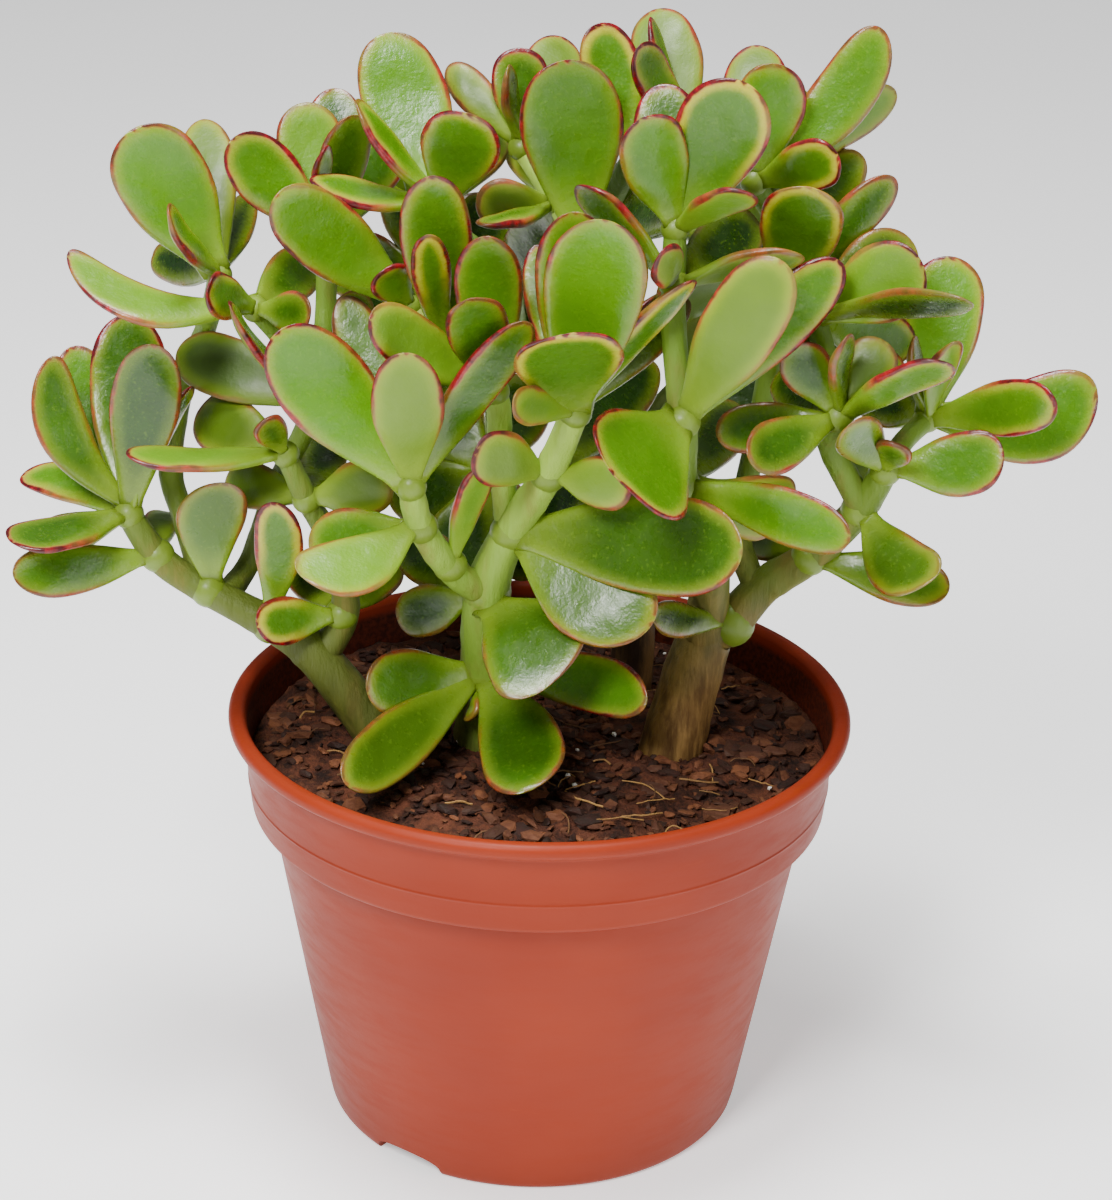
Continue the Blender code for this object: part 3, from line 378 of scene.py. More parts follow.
class Leaf:
    """One leaf: its midrib from base to tip, its width, and the way its upper side faces."""

    def __init__(self, cluster, base, tip, width, face, bow=LEAF_BOW, sweep=0.0):
        self.cluster = cluster
        self.base = base
        self.tip = tip
        self.width = width * PLANT_SCALE
        self.face = face
        self.bow = bow
        self.sweep = sweep
        self.moved = 0.0

    def frame(self):
        """The leaf's length, and its unit vectors along, sideways and out of its upper side."""
        run = self.tip - self.base
        length = run.length
        along = run / length
        face = self.face
        if isinstance(face, float):
            eye = (EYE - self.base).normalized()
            out = eye - along * eye.dot(along)
            if out.length < 0.25:
                out = UPWARD - along * UPWARD.dot(along)
            out = Matrix.Rotation(face, 3, along) @ out.normalized()
        else:
            out = (face - along * face.dot(along)).normalized()
        return length, along, along.cross(out), out

    def point(self, along_share, side_share, lift):
        """The point at a share of the length and of the local half width, and a height off the middle."""
        length, along, side, out = self.frame()
        arch = 4 * along_share * (1 - along_share)
        half = 0.5 * self.width * outline(along_share)
        middle = self.base + along * (length * along_share) + out * (self.bow * length * arch)
        middle += side * (self.sweep * length * arch)
        return middle + side * (half * side_share) + out * (lift + LEAF_CUP * half * side_share ** 2)


def thickness(along):
    """The leaf's thickness as a share of its greatest: it thins toward the tip."""
    return 0.9 + 0.1 * math.sin(math.pi * along) - 0.45 * along ** 3


def ring_faces(rings, sides):
    """The faces of a closed body made of rings of points."""
    faces = []
    for ring in range(rings - 1):
        for corner in range(sides):
            after = (corner + 1) % sides
            low, high = ring * sides, (ring + 1) * sides
            faces.append((low + corner, low + after, high + after, high + corner))
    faces.append(tuple(reversed(range(sides))))
    faces.append(tuple(range((rings - 1) * sides, rings * sides)))
    return faces


def plain_leaf(leaf, stations):
    """Points and faces of the room that a leaf needs, as a closed six-sided solid."""
    points = []
    for along in stations:
        half = max(0.5 * leaf.width * outline(along), 0.1)
        lift = 0.5 * LEAF_THICKNESS * thickness(along) + SETTLE_GAP
        for side, height in PLAIN_SECTION:
            points.append(leaf.point(along, side * (1 + SETTLE_GAP / half), height * lift))
    return points, ring_faces(len(stations), len(PLAIN_SECTION))


def front_leaves(name, node, rows):
    """The leaves of a cluster that is laid out leaf by leaf."""
    leaves = []
    bud = bud_radius(place(*node))
    for across, up, toward, width, roll, *more in rows:
        base = place(*node)
        tip = place(across, up, toward)
        base += (tip - base).normalized() * BASE_REACH * bud
        leaves.append(Leaf(name, base, tip, width, math.radians(roll), *more))
    return leaves


def back_leaves(name, node, pairs):
    """The leaves of a cluster that faces away: crossed pairs round an axis that leans outward."""
    centre = place(*node)
    bud = bud_radius(centre)
    outward = Vector((centre.x, centre.y, 0)).normalized()
    axis = (outward * 0.8 + Vector((0, 0, 1))).normalized()
    across = axis.cross(Vector((0, 0, 1))).normalized()
    leaves = []
    for pair, (lean, length, width) in enumerate(BACK_PAIRS[:pairs]):
        for half in range(2):
            turned = Matrix.Rotation(pair * BACK_TURN + half * math.pi, 3, axis) @ across
            run = axis * math.cos(math.radians(lean)) + turned * math.sin(math.radians(lean))
            base = centre + run * BASE_REACH * bud
            leaves.append(Leaf(name, base, centre + run * length * PLANT_SCALE, width, axis))
    return leaves


def branch_points(branch, steps=2):
    """Points and radii along a branch, on a smooth curve through its plan points."""
    knots = [place(across, up, toward) for across, up, toward, radius in branch]
    radii = [radius * STEM_SCALE * PLANT_SCALE for across, up, toward, radius in branch]
    points, widths = [], []
    for index in range(len(knots) - 1):
        before = knots[max(index - 1, 0)]
        start, end = knots[index], knots[index + 1]
        after = knots[min(index + 2, len(knots) - 1)]
        for step in range(steps):
            t = step / steps
            leave, arrive = (end - before) * 0.5, (after - start) * 0.5
            point = start * (2 * t**3 - 3 * t**2 + 1) + leave * (t**3 - 2 * t**2 + t)
            points.append(point + end * (3 * t**2 - 2 * t**3) + arrive * (t**3 - t**2))
            widths.append(radii[index] + (radii[index + 1] - radii[index]) * t)
    return points + [knots[-1]], widths + [radii[-1]]


def along_line(points):
    """Each point of a line, with two unit vectors square to the line there."""
    turned = (points[1] - points[0]).orthogonal().normalized()
    for index, point in enumerate(points):
        run = (points[min(index + 1, len(points) - 1)] - points[max(index - 1, 0)]).normalized()
        turned = (turned - run * turned.dot(run)).normalized()
        yield point, turned, run.cross(turned)


def tube(points, radii, sides=6):
    """Points and faces of a closed tube along a line of points."""
    rings = []
    for radius, (point, turned, third) in zip(radii, along_line(points)):
        for corner in range(sides):
            angle = 2 * math.pi * corner / sides
            rings.append(point + (turned * math.cos(angle) + third * math.sin(angle)) * radius)
    return rings, ring_faces(len(points), sides)


def stem_radius_at(point):
    """The radius of the thickest stem that a point lies inside."""
    thickest = 0.0
    for branches in CUTTINGS.values():
        for branch in branches:
            line, radii = branch_points(branch)
            for index in range(len(line) - 1):
                near, share = intersect_point_line(point, line[index], line[index + 1])
                share = max(0.0, min(1.0, share))
                near = line[index].lerp(line[index + 1], share)
                radius = radii[index] + (radii[index + 1] - radii[index]) * share
                if (near - point).length < radius:
                    thickest = max(thickest, radius)
    return thickest


def bud_radius(point):
    """The radius of the swelling that a node's leaves grow out of."""
    return (stem_radius_at(point) + BUD_OVER_STEM * STEM_SCALE * PLANT_SCALE) * BUD_SWELL


def shell(points, faces):
    """The search tree and the box of a shape."""
    corners = np.array([point[:] for point in points])
    return BVHTree.FromPolygons(corners.tolist(), faces), (corners.min(axis=0), corners.max(axis=0))


def touching(one, two):
    """Whether two shells meet."""
    (one_tree, (one_low, one_high)), (two_tree, (two_low, two_high)) = one, two
    if (one_high < two_low).any() or (two_high < one_low).any():
        return False
    return bool(one_tree.overlap(two_tree))


def settle(leaves, nodes):
    """Move leaf tips along the line of sight until no leaf meets a stem, a node or another leaf."""
    fixed = []
    for branches in CUTTINGS.values():
        fixed += [(None, None, shell(*tube(*branch_points(branch)))) for branch in branches]
    for name, (centre, radius) in nodes.items():
        up = Vector((0, 0, radius))
        ball = tube([centre - up, centre, centre + up], [0.4 * radius, radius, 0.4 * radius])
        fixed.append((name, centre, shell(*ball)))

    def shells(leaf):
        return [shell(*plain_leaf(leaf, part)) for part in (FREE_STATIONS, WHOLE_STATIONS, END_STATIONS)]

    free, whole, end = range(3)
    around = [shells(leaf) for leaf in leaves]
    for turn in range(SETTLE_ROUNDS):
        moves = [0.0] * len(leaves)
        crowded = set()
        for index, leaf in enumerate(leaves):
            middle = leaf.base + leaf.tip * 2
            for name, centre, solid in fixed:
                if name == leaf.cluster or not touching(around[index][free], solid):
                    continue
                line = solid[0].find_nearest(middle / 3)[0] if centre is None else centre
                moves[index] += SETTLE_STEP if (middle / 3 - line).dot(TO_EYE) > 0 else -SETTLE_STEP
                crowded.add(index)
            for other in range(index + 1, len(leaves)):
                part = end if leaf.cluster == leaves[other].cluster else whole
                if not touching(around[index][part], around[other][part]):
                    continue
                gap = (middle - leaves[other].base - leaves[other].tip * 2).dot(TO_EYE)
                push = SETTLE_STEP if gap > 0 else -SETTLE_STEP
                moves[index] += push
                moves[other] -= push
                crowded.add(other if gap > 0 else index)
        if not crowded:
            break
        for index, (leaf, move) in enumerate(zip(leaves, moves)):
            move = max(-2 * SETTLE_STEP, min(2 * SETTLE_STEP, move))
            move = max(-SETTLE_REACH, min(SETTLE_REACH, leaf.moved + move)) - leaf.moved
            leaf.moved += move
            leaf.tip = leaf.tip + (EYE - leaf.tip).normalized() * move
            if turn >= DRAW_IN_FROM and index in crowded:
                leaf.tip = leaf.base + (leaf.tip - leaf.base) * DRAW_IN
                leaf.width *= DRAW_IN
            if move or index in crowded:
                around[index] = shells(leaf)
    return leaves


def plan():
    """Every leaf in its settled place, and each node's centre and radius."""
    leaves, nodes = [], {}
    for name, (node, rows) in CLUSTERS.items():
        centre = place(*node)
        nodes[name] = (centre, bud_radius(centre))
        leaves += back_leaves(name, node, rows) if isinstance(rows, int) else front_leaves(name, node, rows)
    return settle(leaves, nodes), nodes


def add_object(name, data):
    """A new object in the scene."""
    made = bpy.data.objects.new(name, data)
    bpy.context.scene.collection.objects.link(made)
    return made


def face_out(made):
    """Turn the mesh's faces outward, without moving its points."""
    bm = bmesh.new()
    bm.from_mesh(made.data)
    bmesh.ops.recalc_face_normals(bm, faces=bm.faces)
    bm.to_mesh(made.data)
    bm.free()


def solid(name, points, faces, finish=None):
    """A smooth mesh object, with its faces outward, from points in millimetres."""
    mesh = bpy.data.meshes.new(name)
    mesh.from_pydata((np.asarray(points) * MM).tolist(), [], faces)
    mesh.validate()
    mesh.update()
    mesh.shade_smooth()
    if finish:
        mesh.materials.append(finish)
    made = add_object(name, mesh)
    face_out(made)
    return made


def joined(shapes):
    """Several shapes, each as points and faces, as the points and faces of one."""
    faces, count = [], 0
    for points, own_faces in shapes:
        faces += [tuple(index + count for index in face) for face in own_faces]
        count += len(points)
    return np.vstack([points for points, own_faces in shapes]), faces


def ball_shape(radius, subdivisions):
    """Points and faces of a ball round the origin."""
    bm = bmesh.new()
    bmesh.ops.create_icosphere(bm, subdivisions=subdivisions, radius=radius)
    points = np.array([vert.co[:] for vert in bm.verts])
    faces = [tuple(vert.index for vert in face.verts) for face in bm.faces]
    bm.free()
    return points, faces


def cut(target, cutters):
    """Take the cutters away from the target, and remove them."""
    group = bpy.data.collections.new("cutters")
    for cutter in cutters:
        group.objects.link(cutter)
    step = target.modifiers.new("cut", "BOOLEAN")
    step.operation = "DIFFERENCE"
    step.operand_type = "COLLECTION"
    step.collection = group
    step.solver = "EXACT"
    bpy.context.view_layer.update()
    result = bpy.data.meshes.new_from_object(target.evaluated_get(bpy.context.evaluated_depsgraph_get()))
    target.modifiers.remove(step)
    result.name = target.data.name
    old = target.data
    target.data = result
    bpy.data.meshes.remove(old)
    for cutter in cutters:
        bpy.data.objects.remove(cutter)
    bpy.data.collections.remove(group)


def pot_levels():
    """The heights and outer radii that the pot's wall runs through, from its foot to under its lip."""
    collar_foot = POT_HEIGHT - COLLAR_HEIGHT
    collar_top = POT_HEIGHT - LIP_HEIGHT - 1.5
    collar_radius = RIM_RADIUS - COLLAR_INSET
    body_top = collar_radius - COLLAR_STEP - 2.0
    return (
        (FOOT_RADIUS, 0.0),
        (body_top, collar_foot - 3.0),
        (body_top + COLLAR_STEP, collar_foot),
        (collar_radius, collar_top),
    )


def notch(angle):
    """A cutter for one drainage notch in the foot: an arched bar that points outward at an angle."""
    outward = Vector((math.sin(angle), -math.cos(angle), 0))
    sideways = Vector((math.cos(angle), math.sin(angle), 0))
    section = [(-0.5 * NOTCH_WIDTH, -NOTCH_SILL), (0.5 * NOTCH_WIDTH, -NOTCH_SILL)]
    for step in range(NOTCH_STEPS + 1):
        turn = math.pi * step / NOTCH_STEPS
        arch = abs(math.sin(turn)) ** 0.7
        section.append((0.5 * NOTCH_WIDTH * math.cos(turn), NOTCH_SILL + (NOTCH_HEIGHT - NOTCH_SILL) * arch))
    corners = []
    for reach in (FOOT_RADIUS - NOTCH_DEPTH, FOOT_RADIUS + NOTCH_DEPTH):
        corners += [outward * reach + sideways * side + Vector((0, 0, height)) for side, height in section]
    count = len(section)
    return solid("notch", [corner[:] for corner in corners], ring_faces(2, count))


def soil_height(x, y):
    """The uneven top of the mix: a low crown with gentle lumps."""
    share = math.hypot(x, y) / RIM_RADIUS
    lumps = math.sin(x / 9.0 + 1.3) * math.cos(y / 11.0) + 0.6 * math.sin((x + y) / 6.3 + 0.4)
    return SOIL_TOP + SOIL_CROWN * (1 - share**2) + SOIL_UNEVEN * lumps


def linear(red, green, blue):
    """A colour given as 0 to 255 on screen, as linear light."""
    def one(value):
        value /= 255
        return value / 12.92 if value <= 0.04045 else ((value + 0.055) / 1.055) ** 2.4
    return one(red), one(green), one(blue), 1.0


class Nodes:
    """A short way to build a node material."""

    def __init__(self, name):
        self.material = bpy.data.materials.new(name)
        self.material.use_nodes = True
        self.tree = self.material.node_tree
        self.shader = self.tree.nodes["Principled BSDF"]

    def add(self, kind, **values):
        node = self.tree.nodes.new(kind)
        for key, value in values.items():
            setattr(node, key, value)
        return node

    def link(self, source, target):
        self.tree.links.new(source, target)

    def put(self, socket, value):
        if isinstance(value, bpy.types.NodeSocket):
            self.link(value, socket)
        else:
            socket.default_value = value

    def math(self, operation, one, two=0.0, clamp=False):
        node = self.add("ShaderNodeMath", operation=operation, use_clamp=clamp)
        self.put(node.inputs[0], one)
        self.put(node.inputs[1], two)
        return node.outputs[0]

    def times(self, one, two, clamp=False):
        return self.math("MULTIPLY", one, two, clamp)

    def plus(self, one, two, clamp=False):
        return self.math("ADD", one, two, clamp)

    def swing(self, noise, reach):
        """The noise as a value that swings to either side of zero."""
        return self.times(self.math("SUBTRACT", noise, 0.5), reach)

    def ramp(self, value, low, high, out_low=0.0, out_high=1.0):
        node = self.add("ShaderNodeMapRange", interpolation_type="SMOOTHSTEP")
        self.put(node.inputs["Value"], value)
        limits = {"From Min": low, "From Max": high, "To Min": out_low, "To Max": out_high}
        for name, number in limits.items():
            self.put(node.inputs[name], number)
        return node.outputs[0]

    def mix(self, share, one, two):
        node = self.add("ShaderNodeMix", data_type="RGBA")
        self.put(node.inputs["Factor"], share)
        self.put(node.inputs[6], one)
        self.put(node.inputs[7], two)
        return node.outputs[2]

    def noise(self, scale, detail=2.0, stretch=(1, 1, 1), roughness=0.5):
        place = self.add("ShaderNodeTexCoord").outputs["Object"]
        mapping = self.add("ShaderNodeMapping")
        self.link(place, mapping.inputs["Vector"])
        mapping.inputs["Scale"].default_value = stretch
        node = self.add("ShaderNodeTexNoise")
        self.link(mapping.outputs[0], node.inputs["Vector"])
        node.inputs["Scale"].default_value = scale
        node.inputs["Detail"].default_value = detail
        node.inputs["Roughness"].default_value = roughness
        return node.outputs["Fac"]

    def height(self):
        """The height above the floor, in metres."""
        split = self.add("ShaderNodeSeparateXYZ")
        self.link(self.add("ShaderNodeTexCoord").outputs["Object"], split.inputs[0])
        return split.outputs["Z"]

    def inner_wall(self, wander):
        """How much of a place is the inside of the pot's wall, down from a ragged line below the lip."""
        spot = self.add("ShaderNodeTexCoord").outputs["Object"]
        flat = self.add("ShaderNodeVectorMath", operation="MULTIPLY")
        self.link(spot, flat.inputs[0])
        flat.inputs[1].default_value = (1, 1, 0)
        reach = self.add("ShaderNodeVectorMath", operation="LENGTH")
        self.link(flat.outputs[0], reach.inputs[0])
        collar, under_lip = pot_levels()[2:]
        slope = (under_lip[0] - collar[0]) / (under_lip[1] - collar[1])
        start = (collar[0] - 0.5 * WALL - slope * collar[1]) * MM
        middle = self.plus(self.times(self.height(), slope), start)
        inside = self.ramp(self.math("SUBTRACT", reach.outputs["Value"], middle), -0.0002, 0.0002, 1.0, 0.0)
        in_collar = self.ramp(self.height(), (collar[1] + 3) * MM, (collar[1] + 4) * MM)
        line = self.plus(self.height(), self.times(wander, 0.004))
        under_line = self.ramp(line, (POT_HEIGHT - 3.0) * MM, (POT_HEIGHT - 0.5) * MM, 1.0, 0.0)
        return self.times(self.times(inside, in_collar), under_line)

    def channels(self, attribute):
        """The red, green, blue and alpha of a colour attribute."""
        source = self.add("ShaderNodeAttribute", attribute_name=attribute)
        split = self.add("ShaderNodeSeparateColor")
        self.link(source.outputs["Color"], split.inputs[0])
        return (*split.outputs, source.outputs["Alpha"])

    def bump(self, height, strength, distance, under=None):
        node = self.add("ShaderNodeBump")
        node.inputs["Strength"].default_value = strength
        node.inputs["Distance"].default_value = distance
        self.link(height, node.inputs["Height"])
        if under:
            self.link(under, node.inputs["Normal"])
        return node.outputs[0]

    def finish(self, colour, roughness, normal=None, specular=0.5):
        self.put(self.shader.inputs["Base Color"], colour)
        self.put(self.shader.inputs["Roughness"], roughness)
        self.shader.inputs["Specular IOR Level"].default_value = specular
        if normal:
            self.link(normal, self.shader.inputs["Normal"])
        return self.material


def leaf_material():
    """A fleshy leaf: green face, yellow band, red margin, pale underside and a bark-green base."""
    n = Nodes("jade_leaf")
    rim, along, side, _ = n.channels("leaf_place")
    lightness_with_painted_light, red, yellow, pale = n.channels("leaf_tone")
    broad = n.noise(38, 3)
    fine = n.noise(420, 3)
    specks = n.noise(1150, 1)
    # painted light and shade: the leaf's first tone channel makes leaves in shadow dark and lit leaves
    # bright
    light = n.plus(lightness_with_painted_light, n.swing(broad, 0.55), clamp=True)
    upper = n.mix(light, linear(12, 42, 0), linear(82, 134, 0))
    matt = n.mix(n.times(pale, 0.8), upper, linear(118, 154, 30))
    speckled = n.mix(n.ramp(specks, 0.60, 0.72, 0.0, 0.14), matt, linear(140, 176, 50))
    under = n.mix(light, linear(50, 74, 0), linear(104, 136, 16))
    face = n.mix(n.ramp(side, 0.38, 0.56), under, speckled)
    paled = n.mix(n.ramp(along, 0.02, 0.40, 0.42, 0.0), face, linear(134, 158, 40))
    ragged = n.plus(rim, n.swing(n.noise(150, 3), 0.16))
    soft = n.mix(n.ramp(ragged, 0.12, 0.50, 0.26, 0.0), paled, linear(140, 166, 34))
    out_from_base = n.ramp(along, 0.22, 0.62)
    band_share = n.times(yellow, out_from_base)
    band = n.times(n.ramp(ragged, 0.12, 0.36, 1.0, 0.0), band_share)
    banded = n.mix(n.times(band, 0.85), soft, linear(190, 180, 40))
    blotch = n.times(red, n.ramp(n.noise(55, 2), 0.34, 0.58, 0.55, 1.3))
    patchy = n.times(blotch, out_from_base)
    blush = n.times(n.ramp(ragged, 0.05, 0.18, 1.0, 0.0), patchy)
    blushed = n.mix(n.times(blush, 0.7), banded, linear(182, 84, 66))
    line = n.times(n.ramp(ragged, 0.06, 0.12, 1.0, 0.0), patchy)
    deep = n.mix(n.ramp(n.plus(fine, n.times(along, 0.35)), 0.45, 0.95),
                 linear(158, 22, 30), linear(66, 10, 16))
    reddened = n.mix(n.times(line, 1.3, clamp=True), blushed, deep)
    bark_green = n.mix(light, linear(84, 104, 16), linear(124, 150, 40))
    colour = n.mix(n.ramp(along, 0.0, 0.06), bark_green, reddened)
    matt_share = n.math("MAXIMUM", n.times(pale, 0.6), n.ramp(side, 0.56, 0.38, 0.0, 0.8))
    roughness = n.plus(n.times(matt_share, 0.26), n.ramp(fine, 0.3, 0.7, 0.23, 0.33))
    waves = n.bump(n.noise(95, 2), 0.45, 0.0016)
    dimples = n.bump(specks, 0.30, 0.00025, waves)
    n.shader.inputs["Coat Weight"].default_value = 0.10
    n.shader.inputs["Coat Roughness"].default_value = 0.20
    n.shader.inputs["Subsurface Weight"].default_value = 0.05
    n.shader.inputs["Subsurface Radius"].default_value = (0.6, 1.0, 0.15)
    n.shader.inputs["Subsurface Scale"].default_value = 0.003
    return n.finish(colour, roughness, dimples, 0.42)


def stem_material(name, bark_top, bark_blend, low, high, bark_dark, bark_light):
    """Green stem with tan streaks, its green darker low down by painted shade, that turns to bark below a
    height.
    """
    n = Nodes(name)
    streaks = n.noise(90, 4, (1, 1, 0.22), 0.6)
    blotches = n.noise(46, 3)
    # painted shade: the green darkens toward the bottom, where the leaves shade the stems
    green = n.mix(n.ramp(n.height(), 0.13, 0.24), low, high)
    streaked = n.mix(n.ramp(streaks, 0.52, 0.72, 0.0, 0.55), green, linear(122, 104, 46))
    fissures = n.noise(210, 5, (1, 1, 0.16), 0.65)
    bark = n.mix(n.ramp(fissures, 0.36, 0.66), bark_dark, bark_light)
    edge = n.plus(n.height(), n.swing(blotches, 0.06))
    share = n.ramp(edge, bark_top - bark_blend, bark_top + bark_blend, 1.0, 0.0)
    colour = n.mix(share, streaked, bark)
    rough = n.bump(fissures, 0.7, 0.0016)
    fine = n.bump(n.noise(600, 3), 0.3, 0.0004, rough)
    return n.finish(colour, n.ramp(streaks, 0.3, 0.7, 0.5, 0.75), fine, 0.4)


def pot_material():
    """Matt terracotta-coloured plastic, scuffed, dusty at its foot, with painted shade inside its collar."""
    n = Nodes("terracotta_plastic")
    cloud = n.noise(14, 3)
    grain = n.noise(900, 3)
    scuffs = n.noise(60, 5, (1, 1, 5), 0.7)
    base = n.mix(n.ramp(cloud, 0.3, 0.7), linear(127, 39, 15), linear(137, 45, 18))
    worn = n.mix(n.ramp(scuffs, 0.62, 0.78, 0.0, 0.12), base, linear(168, 84, 54))
    dusty = n.mix(n.ramp(n.height(), 0.0, 0.03, 0.3, 0.0), worn, linear(130, 48, 26))
    # painted shade: the inside of the collar above the mix is painted dark brown for the shadow that falls
    # in it
    painted_shade_colour = n.mix(n.ramp(grain, 0.3, 0.7), linear(58, 22, 14), linear(96, 40, 24))
    with_painted_shade = n.mix(n.inner_wall(cloud), dusty, painted_shade_colour)
    fine = n.bump(grain, 0.22, 0.00012)
    return n.finish(with_painted_shade, n.ramp(scuffs, 0.35, 0.75, 0.44, 0.58), fine, 0.18)


def mix_material():
    """Dark crumbly bark mix."""
    n = Nodes("bark_mix")
    clods = n.noise(110, 6, (1, 1, 1), 0.7)
    fine = n.noise(520, 4)
    dark = n.mix(n.ramp(clods, 0.34, 0.66), linear(32, 16, 10), linear(92, 50, 32))
    colour = n.mix(n.ramp(fine, 0.55, 0.75, 0.0, 0.5), dark, linear(104, 64, 40))
    coarse = n.bump(clods, 1.0, 0.003)
    return n.finish(colour, n.ramp(fine, 0.3, 0.7, 0.8, 1.0), n.bump(fine, 0.8, 0.0008, coarse), 0.25)


def chip_material():
    n = Nodes("bark_chips")
    tone, _, _, _ = n.channels("chip_tone")
    grain = n.noise(340, 4, (1, 1, 3), 0.6)
    dark = n.mix(tone, linear(32, 17, 10), linear(118, 70, 42))
    colour = n.mix(n.ramp(grain, 0.4, 0.7, 0.0, 0.55), dark, linear(58, 26, 18))
    return n.finish(colour, n.ramp(grain, 0.3, 0.7, 0.62, 0.9), n.bump(grain, 0.8, 0.0008), 0.3)


def fibre_material():
    n = Nodes("straw_fibres")
    tone, _, _, _ = n.channels("chip_tone")
    grain = n.noise(500, 2)
    straw = n.mix(tone, linear(84, 52, 26), linear(170, 128, 70))
    colour = n.mix(n.ramp(grain, 0.4, 0.7, 0.0, 0.4), straw, linear(96, 64, 36))
    return n.finish(colour, 0.8, n.bump(grain, 0.4, 0.0003))


def grain_material():
    n = Nodes("perlite")
    pits = n.noise(700, 3)
    colour = n.mix(n.ramp(pits, 0.35, 0.65), linear(200, 190, 176), linear(246, 243, 236))
    return n.finish(colour, n.ramp(pits, 0.3, 0.7, 0.75, 0.95), n.bump(pits, 0.9, 0.0005), 0.3)


def floor_material():
    n = Nodes("pale_floor")
    drift = n.noise(3, 2)
    pale = n.mix(drift, (0.95, 0.95, 0.95, 1), (0.98, 0.98, 0.98, 1))
    n.link(pale, n.shader.inputs["Emission Color"])
    n.shader.inputs["Emission Strength"].default_value = FLOOR_GLOW
    return n.finish(pale, n.ramp(drift, 0.3, 0.7, 0.8, 0.9), None, 0.2)


def colour_attribute(made, name, values):
    """Give the mesh a named colour at each point."""
    layer = made.data.attributes.new(name, "FLOAT_COLOR", "POINT")
    layer.data.foreach_set("color", np.asarray(values, np.float32).ravel())


def stand_in(made, node):
    """Put a fine piece in place of its CAD node."""
    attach(made, "root")
    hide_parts(node)


def fine_leaf(leaf, random):
    """Points, faces and places (distance from the margin, along, side) of one fleshy leaf."""
    length, along, side, out = (np.array(part) for part in leaf.frame())
    steps = np.linspace(0, 1, LEAF_ALONG)
    share = 0.999 * (1 - (1 - steps) ** 1.75)
    share = share * (1 - BASE_TUCK) + BASE_TUCK
    half = np.array([0.5 * leaf.width * outline(max(a, 0.0)) for a in share])
    phase = random.uniform(0, 2 * math.pi, 5)
    half *= 1 + 0.018 * np.sin(share * 11 + phase[0])
    arch = 4 * share * (1 - share)
    middle = np.array(leaf.base) + np.outer(share * length, along) + np.outer(leaf.bow * length * arch, out)
    middle += np.outer(leaf.sweep * length * arch, side)
    past = np.clip((share - LEAF_TIP_FROM) / (1 - LEAF_TIP_FROM), 0, 1)
    round_tip = np.sqrt(np.clip(1 - past ** 2.6, 0.0004, 1))
    lift = 0.5 * LEAF_THICKNESS * np.array([thickness(max(a, 0.0)) for a in share]) * round_tip
    turn = np.linspace(0, 2 * math.pi, LEAF_ROUND, endpoint=False)
    across = np.sign(np.cos(turn)) * np.abs(np.cos(turn)) ** 0.82
    high = np.sign(np.sin(turn)) * np.abs(np.sin(turn)) ** 0.72
    wave = 0.30 * np.sin(np.add.outer(share * 6.5 + phase[1], across * 1.6 + phase[2]))
    wave += 0.12 * np.sin(np.add.outer(share * 14 + phase[3], across * 3.1 + phase[4]))
    swell = wave * np.minimum(1, half[:, None] / 5)
    rise = lift[:, None] * high[None, :] + LEAF_CUP * half[:, None] * across[None, :] ** 2 + swell
    points = middle[:, None, :] + (half[:, None] * across[None, :])[..., None] * side + rise[..., None] * out
    edge_along = np.linspace(0, 1, LEAF_EDGE)
    edge = np.column_stack((edge_along * length, [0.5 * leaf.width * outline(a) for a in edge_along]))
    spread = half[:, None] * np.abs(across)[None, :]
    flat = np.stack(np.broadcast_arrays((share * length)[:, None], spread), -1)
    rim = np.sqrt(((flat[:, :, None, :] - edge[None, None]) ** 2).sum(-1)).min(-1)
    upper = 0.5 + 0.5 * high[None, :]
    places = np.stack(np.broadcast_arrays(rim / MARGIN_REACH, share[:, None], upper, 1.0), -1)
    return points.reshape(-1, 3), ring_faces(LEAF_ALONG, LEAF_ROUND), places.reshape(-1, 4)


def make_leaves(leaves, nodes):
    """Each cluster as one piece: the swelling of its node and its fine leaves, with the tone of each."""
    finish = leaf_material()
    for number, (name, (centre, radius)) in enumerate(nodes.items()):
        random = np.random.default_rng(LEAF_SEED + number)
        points, faces = ball_shape(radius * BUD_FINE, 3)
        shapes = [(points + np.array(centre), faces)]
        places = [np.tile((0.6, 0.0, 0.3, 1.0), (len(points), 1))]
        tones = [np.tile((0.5, 0.0, 0.0, 0.0), (len(points), 1))]
        own = [leaf for leaf in leaves if leaf.cluster == name]
        for leaf, letter in zip(own, LEAF_TONES[name]):
            points, faces, place_values = fine_leaf(leaf, random)
            tone = np.clip(np.array(TONES[letter]) + random.uniform(-0.07, 0.07, 4), 0, 1)
            shapes.append((points, faces))
            places.append(place_values)
            tones.append(np.tile(tone, (len(points), 1)))
        made = solid(name + "_fine", *joined(shapes), finish)
        colour_attribute(made, "leaf_place", np.vstack(places))
        colour_attribute(made, "leaf_tone", np.vstack(tones))
        stand_in(made, name)


